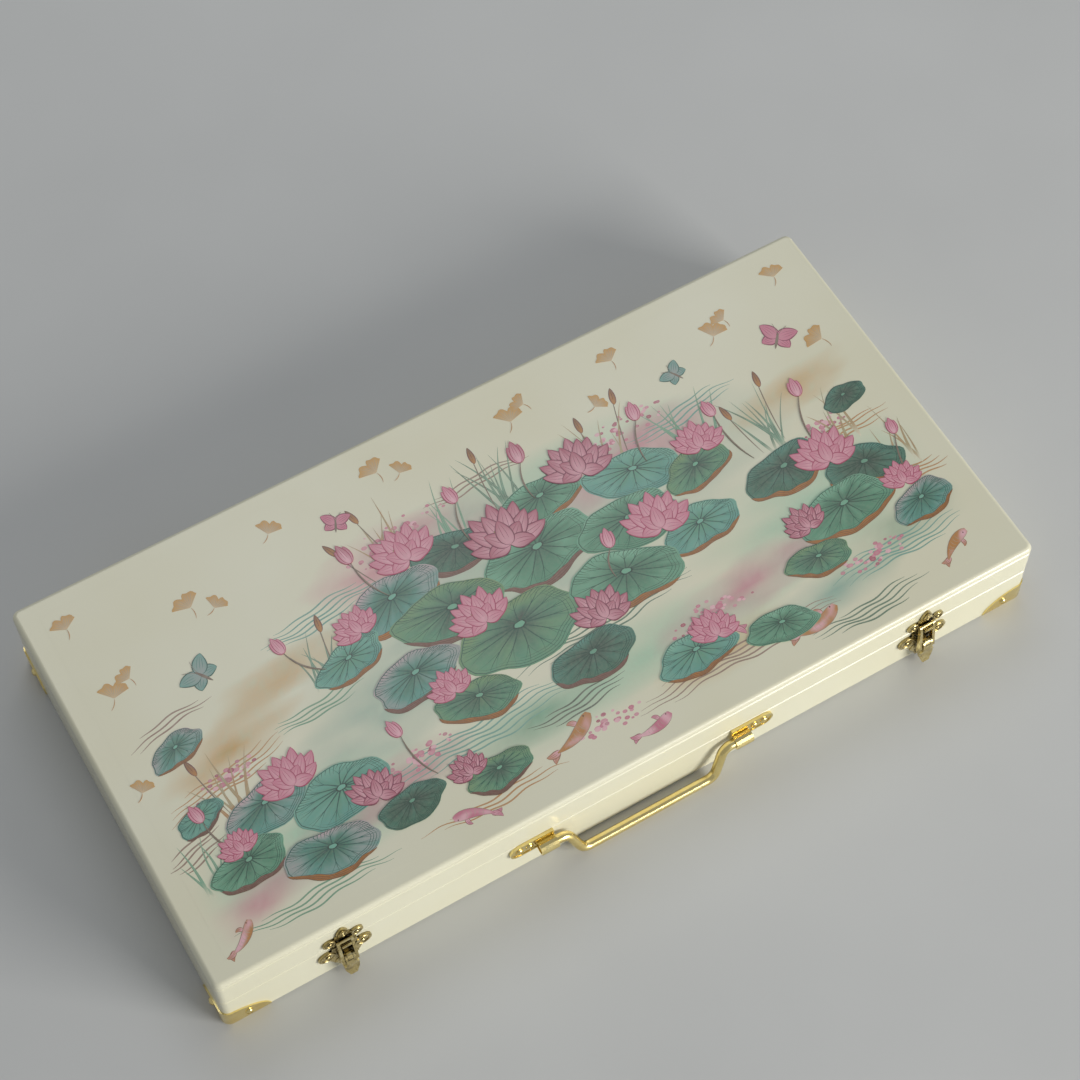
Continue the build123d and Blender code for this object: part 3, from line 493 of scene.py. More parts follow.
def reed(x, y, length, angle, bend, colour, level, width=1.5):
    turn = math.radians(angle)
    end = (x + math.sin(turn) * length, y + math.cos(turn) * length)
    curve = curve_between((x, y), end, bend)

    def blade(t):
        return (1 - t) ** 0.8 * (0.35 + 0.65 * min(1, t * 6))

    def tint(u, v, px, py):
        tone = noise.noise(Vector((px * 0.2, py * 0.2, level)))
        return (*mixed(colour, MINT, 0.25 + 0.4 * tone), 0.9 * min(1.0, u * 3.5))

    film(14, 2, lambda u, v: beside(curve, blade, u, (v - 0.5) * width), tint, level)
    pen(lambda t: curve(0.15 + 0.8 * t), 0.2, mixed(colour, PINE, 0.6), level + 0.05, 9, cover=0.6)


def cattail(x, y, length, angle, level):
    turn = math.radians(angle)
    top = Vector((x + math.sin(turn) * length, y + math.cos(turn) * length))
    pen(curve_between((x, y), top, length * 0.02), 0.6, BROWN, level, 12)
    petal(top - heading(turn) * 8.5, turn, 10.5, 3.2, 0, OCHRE, BROWN, WINE, level + 0.4, 1)


def drift(x, y, wide, deep, count, level, lean=0.0):
    """Fallen petals afloat: small round dabs of pink, thickest in the middle of the drift."""
    for index in range(count):
        angle, reach = rng.uniform(0, math.tau), rng.random() ** 0.8
        px = math.cos(angle) * reach * wide
        centre = Vector((x + px, y + math.sin(angle) * reach * deep + lean * px))
        size = rng.uniform(0.9, 2.0) * (1.25 - 0.6 * reach)
        colour = mixed(rng.choice((BLUSH, ROSE, ROSE, CRIMSON)), BLUSH, 0.5 * rng.random())
        spot(centre, size, 0.7, 7, colour, level + 0.03 * index, 0.95, 0.75)


def ripples(x, y, width, count, gap, colour, level, lean=0.0):
    """Nested water lines, shorter and fainter outwards."""
    shift = rng.uniform(0, math.tau)
    for index in range(count):
        share = (index - (count - 1) / 2) / max(1, count / 2)
        reach = width * (1 - 0.55 * share * share) * rng.uniform(0.85, 1.05)
        start_x = x - reach / 2 + rng.uniform(-3, 3)
        line_y = y + (index - (count - 1) / 2) * gap

        def wave(t):
            px = start_x + t * reach
            rise = 1.3 * math.sin(px * 0.105 + shift + index * 0.28) + 0.5 * math.sin(px * 0.31 + index)
            return Vector((px, line_y + rise + lean * (t - 0.5) * reach))

        pen(wave, 0.85, colour, level, 34, cover=0.9)


PICTURE_HALF = (217.0, 103.0)
WASH_FADE = 16.0
WASHES = (
    (5, 8, 150, 44, TEAL, 0.60, 0.10), (-150, -66, 80, 26, MINT, 0.8, 0.06),
    (152, -36, 72, 34, MINT, 0.8, 0.10), (20, -66, 120, 20, MINT, 0.7, 0.04),
    (-40, 42, 64, 22, ROSE, 1.0, 0.0), (86, 34, 56, 20, ROSE, 0.9, 0.12),
    (-168, -8, 44, 14, GOLD, 0.8, 0.18), (176, 28, 40, 12, GOLD, 0.8, 0.1),
    (-96, -30, 50, 22, TEAL, 0.6, 0.1), (96, -58, 56, 14, ROSE, 0.8, 0.1),
    (-190, -84, 34, 14, ROSE, 0.7, 0.2), (30, 50, 90, 16, MINT, 0.6, 0.0),
    (62, -84, 40, 12, GOLD, 0.8, 0.08), (-30, -70, 44, 13, JADE, 0.7, 0.06),
    (-112, -66, 50, 14, ROSE, 0.8, 0.05), (178, -70, 44, 14, JADE, 0.6, 0.1),
    (-128, 14, 46, 13, GOLD, 0.7, 0.12), (128, -84, 46, 12, TEAL, 0.7, 0.04),
)


def washed(u, v, x, y):
    """The wet washes at a point: each cloud of colour fades out into the cream or the one below."""
    colour, cover = MINT, 0.0
    for order, (middle_x, middle_y, wide, deep, tone, strength, lean) in enumerate(WASHES):
        across = (x - middle_x) / wide
        up = (y - middle_y - lean * (x - middle_x)) / deep
        reach = math.hypot(across, up)
        reach += 0.30 * noise.noise(Vector((across * 1.6, up * 1.6, order * 7.0)))
        if reach < 1:
            cloud = 0.5 + 0.5 * noise.noise(Vector((x * 0.05, y * 0.12, order)))
            fine = noise.noise(Vector((x * 0.3, y * 0.6, order)))
            share = min(1.0, strength * (1 - max(0.0, reach)) ** 0.8 * (0.4 + 0.9 * cloud))
            total = share + cover * (1 - share)
            if total > 0:
                tone = mixed(tone, BLUSH if tone == ROSE else MINT, 0.5 * fine)
                colour, cover = mixed(colour, tone, share / total), total
    edge = min(PICTURE_HALF[0] - abs(x), PICTURE_HALF[1] - abs(y))
    return (*colour, cover * min(1.0, max(0.0, edge / WASH_FADE)))


def ginkgo(x, y, size, turn, level):
    """A gold fan-shaped leaf with a notch, fine ribs and a curved stem."""
    turn = math.radians(turn)

    def point(angle, share):
        notch = 0.26 * math.exp(-(angle / 0.13) ** 2)
        reach = size * share * (1 - notch + 0.05 * math.sin(angle * 11))
        return Vector((x + math.sin(angle + turn) * reach, y + math.cos(angle + turn) * reach))

    def tint(u, v, px, py):
        streak = noise.noise(Vector((u * 14, v, x)))
        return (*mixed(GOLD, OCHRE, 0.55 * (1 - v) + 0.5 * streak), 0.5 + 0.42 * v)

    film(18, 4, lambda u, v: point((u - 0.5) * 2.1, max(0.04, v)), tint, level)
    for index in range(9):
        angle = (index / 8 - 0.5) * 1.9
        up = level + 0.1 + 0.05 * (index % 2)
        pen(lambda t: point(angle, 0.18 + 0.72 * t), 0.2, BROWN, up, 4, cover=0.6)
    foot = Vector((x, y))
    end = foot - heading(turn + 0.3) * size * 0.75
    pen(curve_between(foot, end, size * 0.08), 0.45, OCHRE, level + 0.25, 8)


def butterfly(x, y, size, turn, wing=TEAL, edge=PINE, level=11.5):
    """Four wings and a body, resting with its wings open."""
    centre = Vector((x, y))
    for side in (-1, 1):
        for angle, reach, wide, low in ((122, 0.72, 0.55, 0.0), (58, 1.0, 0.62, 0.3)):
            petal(centre, math.radians(turn + side * angle), size * reach, size * wide, side * size * 0.05,
                  mixed(wing, BLUSH, 0.3), wing, edge, level + low + 0.15 * (side > 0), 3)
        tip = centre + heading(math.radians(turn + side * 24)) * size * 0.8
        pen(curve_between(centre, tip, side * size * 0.07), 0.25, BROWN, level + 0.7 + 0.05 * side, 6)
    ahead = heading(math.radians(turn)) * size
    pen(curve_between(centre - ahead * 0.55, centre + ahead * 0.3, 0), size * 0.13, BROWN, level + 0.85, 8)


def carp(x, y, length, turn, bend, level, colour=OCHRE):
    """A slim carp under the water's surface, with fins, a forked tail and a patched back."""
    turn = math.radians(turn)
    ahead = heading(turn)
    head = Vector((x, y)) + ahead * length / 2
    tail = Vector((x, y)) - ahead * length / 2
    across = Vector((-ahead.y, ahead.x))
    for side in (-1, 1):
        for root, lean, reach, wide in (
            (tail + ahead * 2, side * 0.38, 0.30, 0.13),
            (head - ahead * length * 0.32, -side * 0.95, 0.22, 0.11),
        ):
            petal(root, turn + math.pi + lean, length * reach, length * wide, side, BLUSH, colour, TAUPE,
                  level + 0.15 * (side > 0), 2)
    curve = curve_between(head, tail, bend)

    def half(t):
        return length * 0.115 * math.sin(math.pi * min(1, t + 0.02) ** 0.62) ** 0.8 + 0.3

    def tint(u, v, px, py):
        patch = noise.noise(Vector((px * 0.16, py * 0.16, length)))
        return (*mixed(BLUSH, colour, 0.55 + 2.2 * patch + 0.4 * abs(2 * v - 1)), 0.92)

    film(14, 4, lambda u, v: beside(curve, half, u, 2 * v - 1), tint, level + 0.35)
    for side in (-1, 1):
        pen(lambda t: beside(curve, half, t, side), 0.28, TAUPE, level + 0.45 + 0.025 * side, 14)
    for index in range(5):
        t = 0.3 + index * 0.1
        back, reach = curve(t), across * half(t) * 0.7
        pen(curve_between(back - reach, back + reach, 0.7), 0.2, TAUPE, level + 0.52, 5, cover=0.6)
    eye = head - ahead * length * 0.11 + across * length * 0.03
    spot(eye, length * 0.018, 1, 8, BROWN, level + 0.6)


# Where each motif stands on the lid, in millimetres from its middle, the farthest first
film(150, 70, lambda u, v: [(2 * share - 1) * half for share, half in zip((u, v), PICTURE_HALF)], washed, 0)
dried()
for order, (x, y, width, count, gap, colour, lean) in enumerate((
    (-60, -62, 120, 6, 2.6, TEAL, 0.05), (70, -88, 130, 5, 2.4, TAUPE, 0.03),
    (-165, -96, 90, 4, 2.3, JADE, 0.02), (170, -78, 84, 6, 2.3, TEAL, 0.06),
    (-178, -22, 70, 5, 2.6, OCHRE, 0.20), (182, -8, 66, 4, 2.6, OCHRE, 0.14),
    (-70, -96, 80, 3, 2.4, OCHRE, 0.0), (120, 44, 76, 4, 2.5, TEAL, 0.10),
    (-96, 34, 74, 5, 2.4, TEAL, 0.08), (22, -40, 110, 5, 2.5, DEEP_JADE, 0.08),
    (-186, 18, 48, 3, 2.6, TAUPE, 0.16), (8, 62, 70, 3, 2.4, TAUPE, 0.0),
    (205, -46, 34, 4, 2.6, OCHRE, 0.1), (-120, -10, 60, 4, 2.4, JADE, 0.12),
    (140, -100, 70, 5, 2.3, DEEP_JADE, 0.04), (-10, -72, 60, 4, 2.3, PINE, 0.05),
    (-206, -48, 30, 5, 2.4, TAUPE, 0.2),
)):
    ripples(x, y, width, count, gap, colour, 0.1 + 0.05 * order, lean)
    dried()
for x, y, wide, deep, count, lean in (
    (-46, 54, 34, 9, 60, 0.1), (84, 50, 30, 8, 50, 0.12), (-92, -58, 20, 6, 36, 0.1),
    (70, -62, 26, 7, 44, 0.08), (-176, -22, 18, 6, 34, 0.2), (178, 2, 16, 6, 30, 0.1),
    (-6, -88, 22, 6, 34, 0.04), (158, -76, 22, 6, 36, 0.06),
):
    drift(x, y, wide, deep, count, 1.0, lean)
    dried()
hung("pond_washes_and_ripples")
for x, y, count, length, spread, colour in (
    (-52, 26, 9, 52, 46, OCHRE), (18, 34, 9, 46, 50, DEEP_JADE), (72, 22, 8, 50, 44, OCHRE),
    (-176, -46, 8, 40, 50, OCHRE), (-110, -2, 7, 34, 46, DEEP_JADE), (150, -2, 9, 46, 50, DEEP_JADE),
    (202, -40, 6, 38, 36, OCHRE), (-206, -70, 5, 34, 36, JADE), (118, 20, 7, 36, 44, JADE),
    (-18, 30, 7, 42, 30, JADE), (186, -14, 6, 34, 40, OCHRE),
):
    for index in range(count):
        angle = (index / (count - 1) - 0.5) * 2 * spread / 2 + rng.uniform(-5, 5)
        reed(x + rng.uniform(-7, 7), y + rng.uniform(-3, 3), length * rng.uniform(0.6, 1.05), angle,
             angle * 0.06 + rng.uniform(-2, 2), colour, 2.85 + 0.1 * index, rng.uniform(1.2, 2.2))
    dried()
for order, (x, y, length, angle) in enumerate((
    (-46, 30, 50, -14), (-60, 28, 42, -24), (80, 26, 50, 16), (66, 28, 40, 4), (156, 4, 42, 10),
    (-182, -40, 36, -12), (8, 36, 44, 6), (142, 2, 34, -8), (-104, 2, 32, 8),
)):
    cattail(x, y, length, angle, 3.32 + 0.05 * order)
dried()
hung("reeds_and_cattails")

pads = (
    (-62, 22, 27, 14, 12), (-22, 32, 24, 12, -8), (30, 36, 25, 12, 6), (78, 26, 26, 13, -10),
    (108, 12, 20, 11, 14), (-96, 4, 20, 10, 16), (-40, 2, 30, 16, -6), (14, 10, 32, 17, 8),
    (62, 2, 28, 15, -4), (-72, -20, 24, 13, 10), (-16, -24, 34, 18, 4), (44, -24, 30, 16, -10),
    (92, -18, 22, 12, 8), (8, -54, 24, 12, 6), (-52, -46, 22, 11, -8), (-166, -44, 23, 12, 14),
    (-132, -56, 26, 14, 6), (-186, -66, 20, 11, 10), (-150, -80, 24, 12, -6), (-106, -78, 18, 9, 8),
    (146, -12, 24, 13, 8), (182, -30, 22, 12, -8), (160, -46, 27, 14, 6), (196, -62, 18, 10, 12),
    (132, -64, 18, 9, -6), (-190, 4, 15, 8, 18), (196, 10, 13, 7, 10), (52, -78, 22, 11, 4),
    (96, -86, 19, 9, -8), (-62, -84, 18, 9, 6), (-196, -34, 13, 7, 20),
)
tones = (
    (DEEP_JADE, JADE, MINT), (PINE, DEEP_JADE, TEAL), (JADE, TEAL, MINT), (DEEP_JADE, TEAL, BLUSH),
    (PINE, JADE, MOSS),
)
for order, (x, y, wide, deep, tilt) in enumerate(sorted(pads, key=lambda pad: -pad[1])):
    turned = (OCHRE, TAUPE, None, OCHRE)[order % 4]
    leaf_pad(x, y, wide, deep, tilt, 4.3 + 0.7 * order, *tones[order % len(tones)], turned)
    dried()
    if order == len(pads) // 2:
        hung("far_lotus_leaves")
hung("near_lotus_leaves")

for order, (x, y, size, turn) in enumerate((
    (-44, 40, 21, -8), (56, 40, 22, 8), (-84, 16, 15, -14), (116, 22, 16, 12), (4, 22, 25, 2),
    (-28, -10, 19, -12), (74, -8, 21, 10), (24, -38, 18, 6), (-60, -36, 14, -10), (-150, -40, 19, -8),
    (-118, -66, 16, 10), (-186, -58, 12, -14), (168, -18, 20, 10), (138, -46, 14, -10), (194, -48, 13, 8),
    (66, -74, 15, 8), (-74, -78, 12, -8),
)):
    outer, line = ((ROSE, CRIMSON), (CRIMSON, WINE))[order % 3 == 1]
    lotus(x, y, size, turn, 27.4 + 0.05 * order, outer=outer, line=line)
    dried()
for order, (x, y, size, turn, foot_x, foot_y) in enumerate((
    (-70, 52, 13, -10, -62, 26), (32, 60, 14, 6, 28, 38), (96, 52, 12, 12, 88, 28),
    (-8, 56, 12, -6, -12, 32), (-122, 24, 11, -12, -108, 6), (-196, -36, 11, -12, -186, -60),
    (176, 22, 12, 10, 168, -6), (132, 34, 11, -6, 136, 2), (-94, -44, 11, -14, -88, -70),
    (46, -6, 12, 14, 40, -22), (206, -22, 10, 12, 198, -54),
)):
    pen(curve_between((foot_x, foot_y), (x, y), 2.5), 0.9, BROWN, 26.5 + 0.02 * order, 12)
    bud(x, y, size, turn, 26.8, CRIMSON if size > 12 else ROSE)
dried()
hung("lotus_flowers_and_buds")

for order, (x, y, size, turn) in enumerate((
    (-204, 44, 9, 20), (-193, 50, 7, -30), (-150, 70, 9, -15), (-140, 64, 7, 50), (-98, 88, 8, 35),
    (-34, 92, 9, -20), (-24, 86, 7, 40), (40, 84, 9, 15), (51, 90, 7, -40), (104, 90, 8, -10),
    (158, 76, 9, 30), (168, 82, 7, -25), (206, 92, 8, 10), (206, 46, 9, -35), (-208, 90, 8, -5),
    (-214, -8, 7, 30), (82, 70, 7, 60),
)):
    ginkgo(x, y, size, turn, 4.0 + 0.4 * order)
butterfly(-162, 34, 12, -35)
butterfly(186, 58, 12, 40, ROSE, WINE)
butterfly(-66, 76, 9, 25, ROSE, WINE)
butterfly(128, 66, 9, -30)
for x, y, length, turn, bend, colour in (
    (-22, -84, 26, 64, 2.5, OCHRE), (66, -70, 24, -58, -2.5, ROSE), (112, -92, 26, 78, 3.0, OCHRE),
    (-84, -98, 20, -70, 2.0, ROSE), (196, -92, 20, 60, -2.0, OCHRE), (-206, -96, 18, 50, 2.0, OCHRE),
    (14, -100, 20, 80, 2.0, ROSE),
):
    carp(x, y, length, turn, bend, 3.6, colour)
dried()
hung("ginkgo_leaves_butterflies_and_carp")

# The corner caps: four pieces of thin brass sheet pressed over the lower corners, each with a
# rounded edge and two screws. Their pressed edges are softer than the plain caps they replace.
CASE_HALF = Vector((228.5, 113.0, 50.0)) * MM
CAP_SHEET = 0.8 * MM
CAP_REACH = 24.0 * MM
CAP_HEIGHT = 15.0 * MM
CAP_CORNER = 4.8 * MM
CAP_EDGE = 2.6 * MM
CAP_CUTS = 14
CAP_BLOCK_HEIGHT = 80.0 * MM
BRIGHT_BRASS = (0.85, 0.66, 0.25)
BRASS_HIGH = (0.94, 0.80, 0.39)
ALONG_X = Vector((1, 0, 0))
ALONG_Y = Vector((0, 1, 0))


def brass(name, tone, high, dull, shine):
    """Brass that is brighter where it is rubbed, with faint smears in its polish."""
    material, tree, shader = new_material(name, 0.25, 1.0)
    smear = noise_pattern(tree, 130.0, 4.0, 0.6, (1, 0.4, 1))
    colour = ramp(tree, smear, [(0.3, tone), (0.7, high)])
    polish = ranged(tree, smear, 0.3, 0.75, dull, shine)
    set_inputs(tree, shader, {"Base Color": colour, "Roughness": polish})
    bumped(tree, shader, noise_pattern(tree, 900.0, 2.0), 0.06, 0.00005)
    return material


def everything(bm):
    return [*bm.verts, *bm.edges, *bm.faces]


def bevelled(bm, edges, offset, segments):
    bmesh.ops.bevel(
        bm, geom=edges, offset=offset, affect="EDGES", segments=segments, profile=0.5, material=-1
    )


def cut(bm, point, normal, away=False):
    """Cuts a working mesh by a plane. With away, what lies beyond the plane goes."""
    bmesh.ops.bisect_plane(
        bm, geom=everything(bm), plane_co=point, plane_no=normal, clear_outer=away, dist=WELD
    )


def corner_cap_mesh():
    """One cap at the front left corner, cut from the skin of a rounded block."""
    bm = bmesh.new()
    bmesh.ops.create_cube(bm, size=1)
    size = Vector((CASE_HALF.x * 2, CASE_HALF.y * 2, CAP_BLOCK_HEIGHT)) + Vector((2, 2, 0)) * CAP_SHEET
    bmesh.ops.scale(bm, vec=size, verts=bm.verts)
    bmesh.ops.translate(bm, vec=(0, 0, size.z / 2), verts=bm.verts)
    upright = [edge for edge in bm.edges if abs(edge.verts[0].co.z - edge.verts[1].co.z) > CAP_HEIGHT]
    bevelled(bm, upright, CAP_CORNER, 8)
    foot = [edge for edge in bm.edges if max(vert.co.z for vert in edge.verts) < CAP_SHEET]
    bevelled(bm, foot, CAP_EDGE, 5)
    corner = Vector((-CASE_HALF.x, -CASE_HALF.y, 0))
    halves = []
    for along, across in ((ALONG_X, ALONG_Y), (ALONG_Y, ALONG_X)):
        half = bm.copy()
        cut(half, corner, across - along, True)
        for step in range(CAP_CUTS + 1):
            turn = math.pi / 2 * step / CAP_CUTS
            face = along * (math.cos(turn) / CAP_REACH) + Vector((0, 0, math.sin(turn) / CAP_HEIGHT))
            edge = along * (CAP_REACH * math.cos(turn)) + Vector((0, 0, CAP_HEIGHT * math.sin(turn)))
            cut(half, corner + edge, face, True)
            under = along * math.cos(turn) + across * math.sin(turn)
            cut(half, corner + under * CAP_REACH, under, True)
        halves.append(meshed(half))
    bm.clear()
    for mesh in halves:
        poured(bm, mesh)
    bmesh.ops.remove_doubles(bm, verts=bm.verts, dist=10 * WELD)
    bmesh.ops.solidify(bm, geom=bm.faces, thickness=CAP_SHEET)
    return bm


bm = corner_cap_mesh()
for flip in (Vector((-1, 1, 1)), Vector((1, -1, 1))):
    copy = bmesh.ops.duplicate(bm, geom=everything(bm))["geom"]
    bmesh.ops.scale(bm, vec=flip, verts=[part for part in copy if isinstance(part, bmesh.types.BMVert)])
    bmesh.ops.reverse_faces(bm, faces=[part for part in copy if isinstance(part, bmesh.types.BMFace)])
polished = brass("polished_brass", BRIGHT_BRASS, BRASS_HIGH, 0.27, 0.15)
caps = new_piece("pressed_corner_caps", bm, polished, sharp=40)
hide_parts("corner_caps")

# The screws: slotted round heads in brass, two in each cap, two in each handle plate. Every slot
# stops at its own angle, as a hand-driven screw's does.
SCREW_HEAD = 2.1 * MM
SCREW_RISE = 1.3 * MM
SLOT_HALF = 0.28 * MM
SLOT_DEEP = 0.55 * MM
CAP_SCREW_IN = 12.5 * MM
CAP_SCREW_UP = 7.0 * MM
HANDLE_SCREW_X = (69.4 * MM, 63.8 * MM)
HANDLE_SCREW_Z = 22.6 * MM
HANDLE_SHEET = 1.2 * MM
DOME_STEPS = 6


def turned_on_lathe(bm, profile, sides):
    """Spins a profile of (radius, height) points once round Z."""
    last = None
    for radius, up in profile:
        vert = bm.verts.new((radius, 0, up))
        if last:
            bm.edges.new((last, vert))
        last = vert
    spun(bm, sides)


def spun(bm, sides):
    bmesh.ops.spin(
        bm, geom=[*bm.verts, *bm.edges], axis=(0, 0, 1), cent=(0, 0, 0), dvec=(0, 0, 0),
        angle=math.tau, steps=sides, use_merge=True,
    )
    bmesh.ops.remove_doubles(bm, verts=bm.verts, dist=WELD)


def round_head(bm, radius, rise, place, slot_half=0, slot_deep=0):
    """A domed head on its seat at the origin, slotted if slot_half is more than 0, then placed."""
    head = bmesh.new()
    turns = [math.pi / 2 * step / DOME_STEPS for step in range(DOME_STEPS + 1)]
    turned_on_lathe(head, [(radius * math.cos(turn), rise * math.sin(turn)) for turn in turns], 24)
    bmesh.ops.contextual_create(head, geom=[edge for edge in head.edges if edge.is_boundary])
    bmesh.ops.recalc_face_normals(head, faces=head.faces)
    if slot_half:
        for side in (-1, 1):
            cut(head, (side * slot_half, 0, 0), (1, 0, 0))
        middle = [
            face for face in head.faces
            if abs(face.calc_center_median().x) < slot_half and face.normal.z > 0.05
        ]
        made = bmesh.ops.extrude_face_region(head, geom=middle)["geom"]
        bmesh.ops.delete(head, geom=middle, context="FACES")
        for vert in made:
            if isinstance(vert, bmesh.types.BMVert):
                vert.co.z = min(vert.co.z, max(0.2 * rise, rise - slot_deep))
    mesh = meshed(head)
    mesh.transform(place)
    poured(bm, mesh)


def facing(x, y, z, out, turn=0.0):
    """A seat at a point, with its +Z along out and turned about it."""
    aimed = Vector(out).to_track_quat("Z", "Y").to_matrix().to_4x4()
    return Matrix.Translation((x, y, z)) @ aimed @ Matrix.Rotation(turn, 4, "Z")


def screw_head(bm, x, y, z, out):
    seat = facing(x, y, z, out, rng.uniform(0, math.pi))
    round_head(bm, SCREW_HEAD, SCREW_RISE, seat, SLOT_HALF, SLOT_DEEP)


rng = random.Random(11)
bm = bmesh.new()
for x_side in (-1, 1):
    for y_side in (-1, 1):
        front_x = x_side * (CASE_HALF.x - CAP_SCREW_IN)
        front_y = y_side * (CASE_HALF.y + CAP_SHEET)
        end_x = x_side * (CASE_HALF.x + CAP_SHEET)
        end_y = y_side * (CASE_HALF.y - CAP_SCREW_IN)
        screw_head(bm, front_x, front_y, CAP_SCREW_UP, (0, y_side, 0))
        screw_head(bm, end_x, end_y, CAP_SCREW_UP, (x_side, 0, 0))
cap_screws = new_piece("cap_screw_heads", bm, polished, sharp=40)
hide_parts("corner_cap_screws")
bm = bmesh.new()
for side in (-1, 1):
    for x in HANDLE_SCREW_X:
        screw_head(bm, side * x, -CASE_HALF.y - HANDLE_SHEET, HANDLE_SCREW_Z, (0, -1, 0))
handle_screws = new_piece("handle_screw_heads", bm, polished, sharp=40)
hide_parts("handle_screws")

# The handle: a round brass rod bent into a bail, whose ends turn in the rolled knuckles of two
# oblong plates. It hangs from them and leans out until its grip nearly touches the table.
ROD = 2.6 * MM
BAIL_CENTRE = Vector((0, -117.0, 20.7)) * MM
BAIL_LEAN = math.acos(17.8 / 18.2)
BAIL_CORNERS = [(-59.0, 0), (-44.5, 0), (-37.5, -18.2), (37.5, -18.2), (44.5, 0), (59.0, 0)]
BAIL_BEND = 6.0
BEND_STEPS = 10


def bent_line(corners, radius):
    """The corners' line with each bend rounded, as points in the plane."""
    points = [Vector(corners[0])]
    for before, here, after in zip(corners, corners[1:], corners[2:]):
        back = (Vector(before) - Vector(here)).normalized()
        ahead = (Vector(after) - Vector(here)).normalized()
        half = back.angle(ahead) / 2
        centre = Vector(here) + (back + ahead).normalized() * (radius / math.sin(half))
        start = Vector(here) + back * (radius / math.tan(half)) - centre
        sweep = (math.pi - 2 * half) * (1 if back.cross(ahead) < 0 else -1)
        for step in range(BEND_STEPS + 1):
            turn = sweep * step / BEND_STEPS
            cos, sin = math.cos(turn), math.sin(turn)
            points.append(centre + Vector((start.x * cos - start.y * sin, start.x * sin + start.y * cos)))
    points.append(Vector(corners[-1]))
    return points


hang = Vector((0, -math.sin(BAIL_LEAN), -math.cos(BAIL_LEAN)))
line = bpy.data.curves.new("bail", "CURVE")
line.dimensions = "3D"
line.bevel_depth = ROD
line.bevel_resolution = 3
line.use_fill_caps = True
spline = line.splines.new("POLY")
bail_points = bent_line(BAIL_CORNERS, BAIL_BEND)
spline.points.add(len(bail_points) - 1)
for made, point in zip(spline.points, bail_points):
    made.co = (*(BAIL_CENTRE + Vector((point.x, 0, 0)) * MM - hang * (point.y * MM)), 1)
holder = bpy.data.objects.new("bail", line)
mesh = bpy.data.meshes.new_from_object(holder)
bpy.data.objects.remove(holder)
bpy.data.curves.remove(line)
bm = bmesh.new()
poured(bm, mesh)
bmesh.ops.remove_doubles(bm, verts=bm.verts, dist=WELD)
bail = new_piece("smooth_bail", bm, polished, "handle", sharp=50)
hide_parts("handle_bail")
paint_nodes(polished, ["handle_plate_left", "handle_plate_right"])

# The toggle latches: cast plates and levers in a darker, aged brass. An ambient-occlusion mask
# darkens their hollows nearly to black, and their edges and high spots are rubbed bright.
LATCH_DARK = (0.035, 0.026, 0.012)
LATCH_BODY = (0.68, 0.55, 0.25)
LATCH_BRIGHT = (0.94, 0.84, 0.50)
HOLLOW_REACH = 3.5 * MM

antique, tree, shader = new_material("aged_brass", 0.3, 1.0)
# Darker where ambient occlusion finds the surface hemmed in within a few millimetres: the hollows go nearly
# black.
nearby = made_node(tree, "ShaderNodeAmbientOcclusion", {"Distance": HOLLOW_REACH}, samples=8)
hollow = ranged(tree, nearby.outputs["AO"], 0.25, 0.85, 1.0, 0.0)
patina = noise_pattern(tree, 260.0, 4.0, 0.65)
dull = tuple(0.55 * value for value in LATCH_BODY)
skin = ramp(tree, patina, [(0.32, dull), (0.5, LATCH_BODY), (0.72, LATCH_BRIGHT)])
set_inputs(tree, shader, {
    "Base Color": blended(tree, hollow, skin, (*LATCH_DARK, 1)),
    "Roughness": ranged(tree, patina, 0.3, 0.7, 0.36, 0.14),
})
bumped(tree, shader, patina, 0.25, 0.00012)
paint_nodes(antique, nodes_named("latch"))

# The latches' nails and cast ornament: domed nails through the ears, each in a raised ring, a row
# of beads up the spire and a fan of ribs down the shield. They are cast with the plates.
LATCH_X = 164.0 * MM
LATCH_FACE_Y = -114.2 * MM
HOOK_EARS = (7.1 * MM, 34.0 * MM, 2.7 * MM)
BASE_EARS = (9.2 * MM, 20.0 * MM, 3.7 * MM)
NAIL_HEAD = 1.25 * MM
NAIL_RISE = 0.9 * MM
RING_THICK = 0.42 * MM
BEAD_IN_FRONT = 0.6 * MM
BEAD_GAIN = 1.3
BEAD_DEEP = 1.1
SPIRE_BEADS = ((38.6, 1.25), (40.6, 1.0), (42.3, 0.75))
SHIELD_RIBS = (-34, -17, 17, 34)
SHIELD_UP = 19.5
RIB_REACH = 8.8
RIB_SIZE = Vector((1.5, 1.3, 5.4)) * MM


def ring_on(bm, centre, radius):
    """A raised ring on an upright plate that faces the front."""
    upended = Matrix.Rotation(math.pi / 2, 3, "X")
    hoop = bmesh.new()
    bmesh.ops.create_circle(hoop, segments=8, radius=RING_THICK)
    bmesh.ops.translate(hoop, vec=(radius, 0, 0), verts=hoop.verts)
    bmesh.ops.rotate(hoop, cent=(0, 0, 0), matrix=upended, verts=hoop.verts)
    spun(hoop, 28)
    bmesh.ops.recalc_face_normals(hoop, faces=hoop.faces)
    bmesh.ops.rotate(hoop, cent=(0, 0, 0), matrix=upended, verts=hoop.verts)
    bmesh.ops.translate(hoop, vec=centre, verts=hoop.verts)
    poured(bm, meshed(hoop))


def bead_on(bm, centre, size, turn=0.0):
    """A domed bead or rib, as wide, deep and tall as size, half let into its plate."""
    made = bmesh.ops.create_uvsphere(bm, u_segments=12, v_segments=8, radius=0.5)["verts"]
    bmesh.ops.scale(bm, vec=size, verts=made)
    bmesh.ops.rotate(bm, cent=(0, 0, 0), matrix=Matrix.Rotation(turn, 3, "Y"), verts=made)
    bmesh.ops.translate(bm, vec=centre, verts=made)


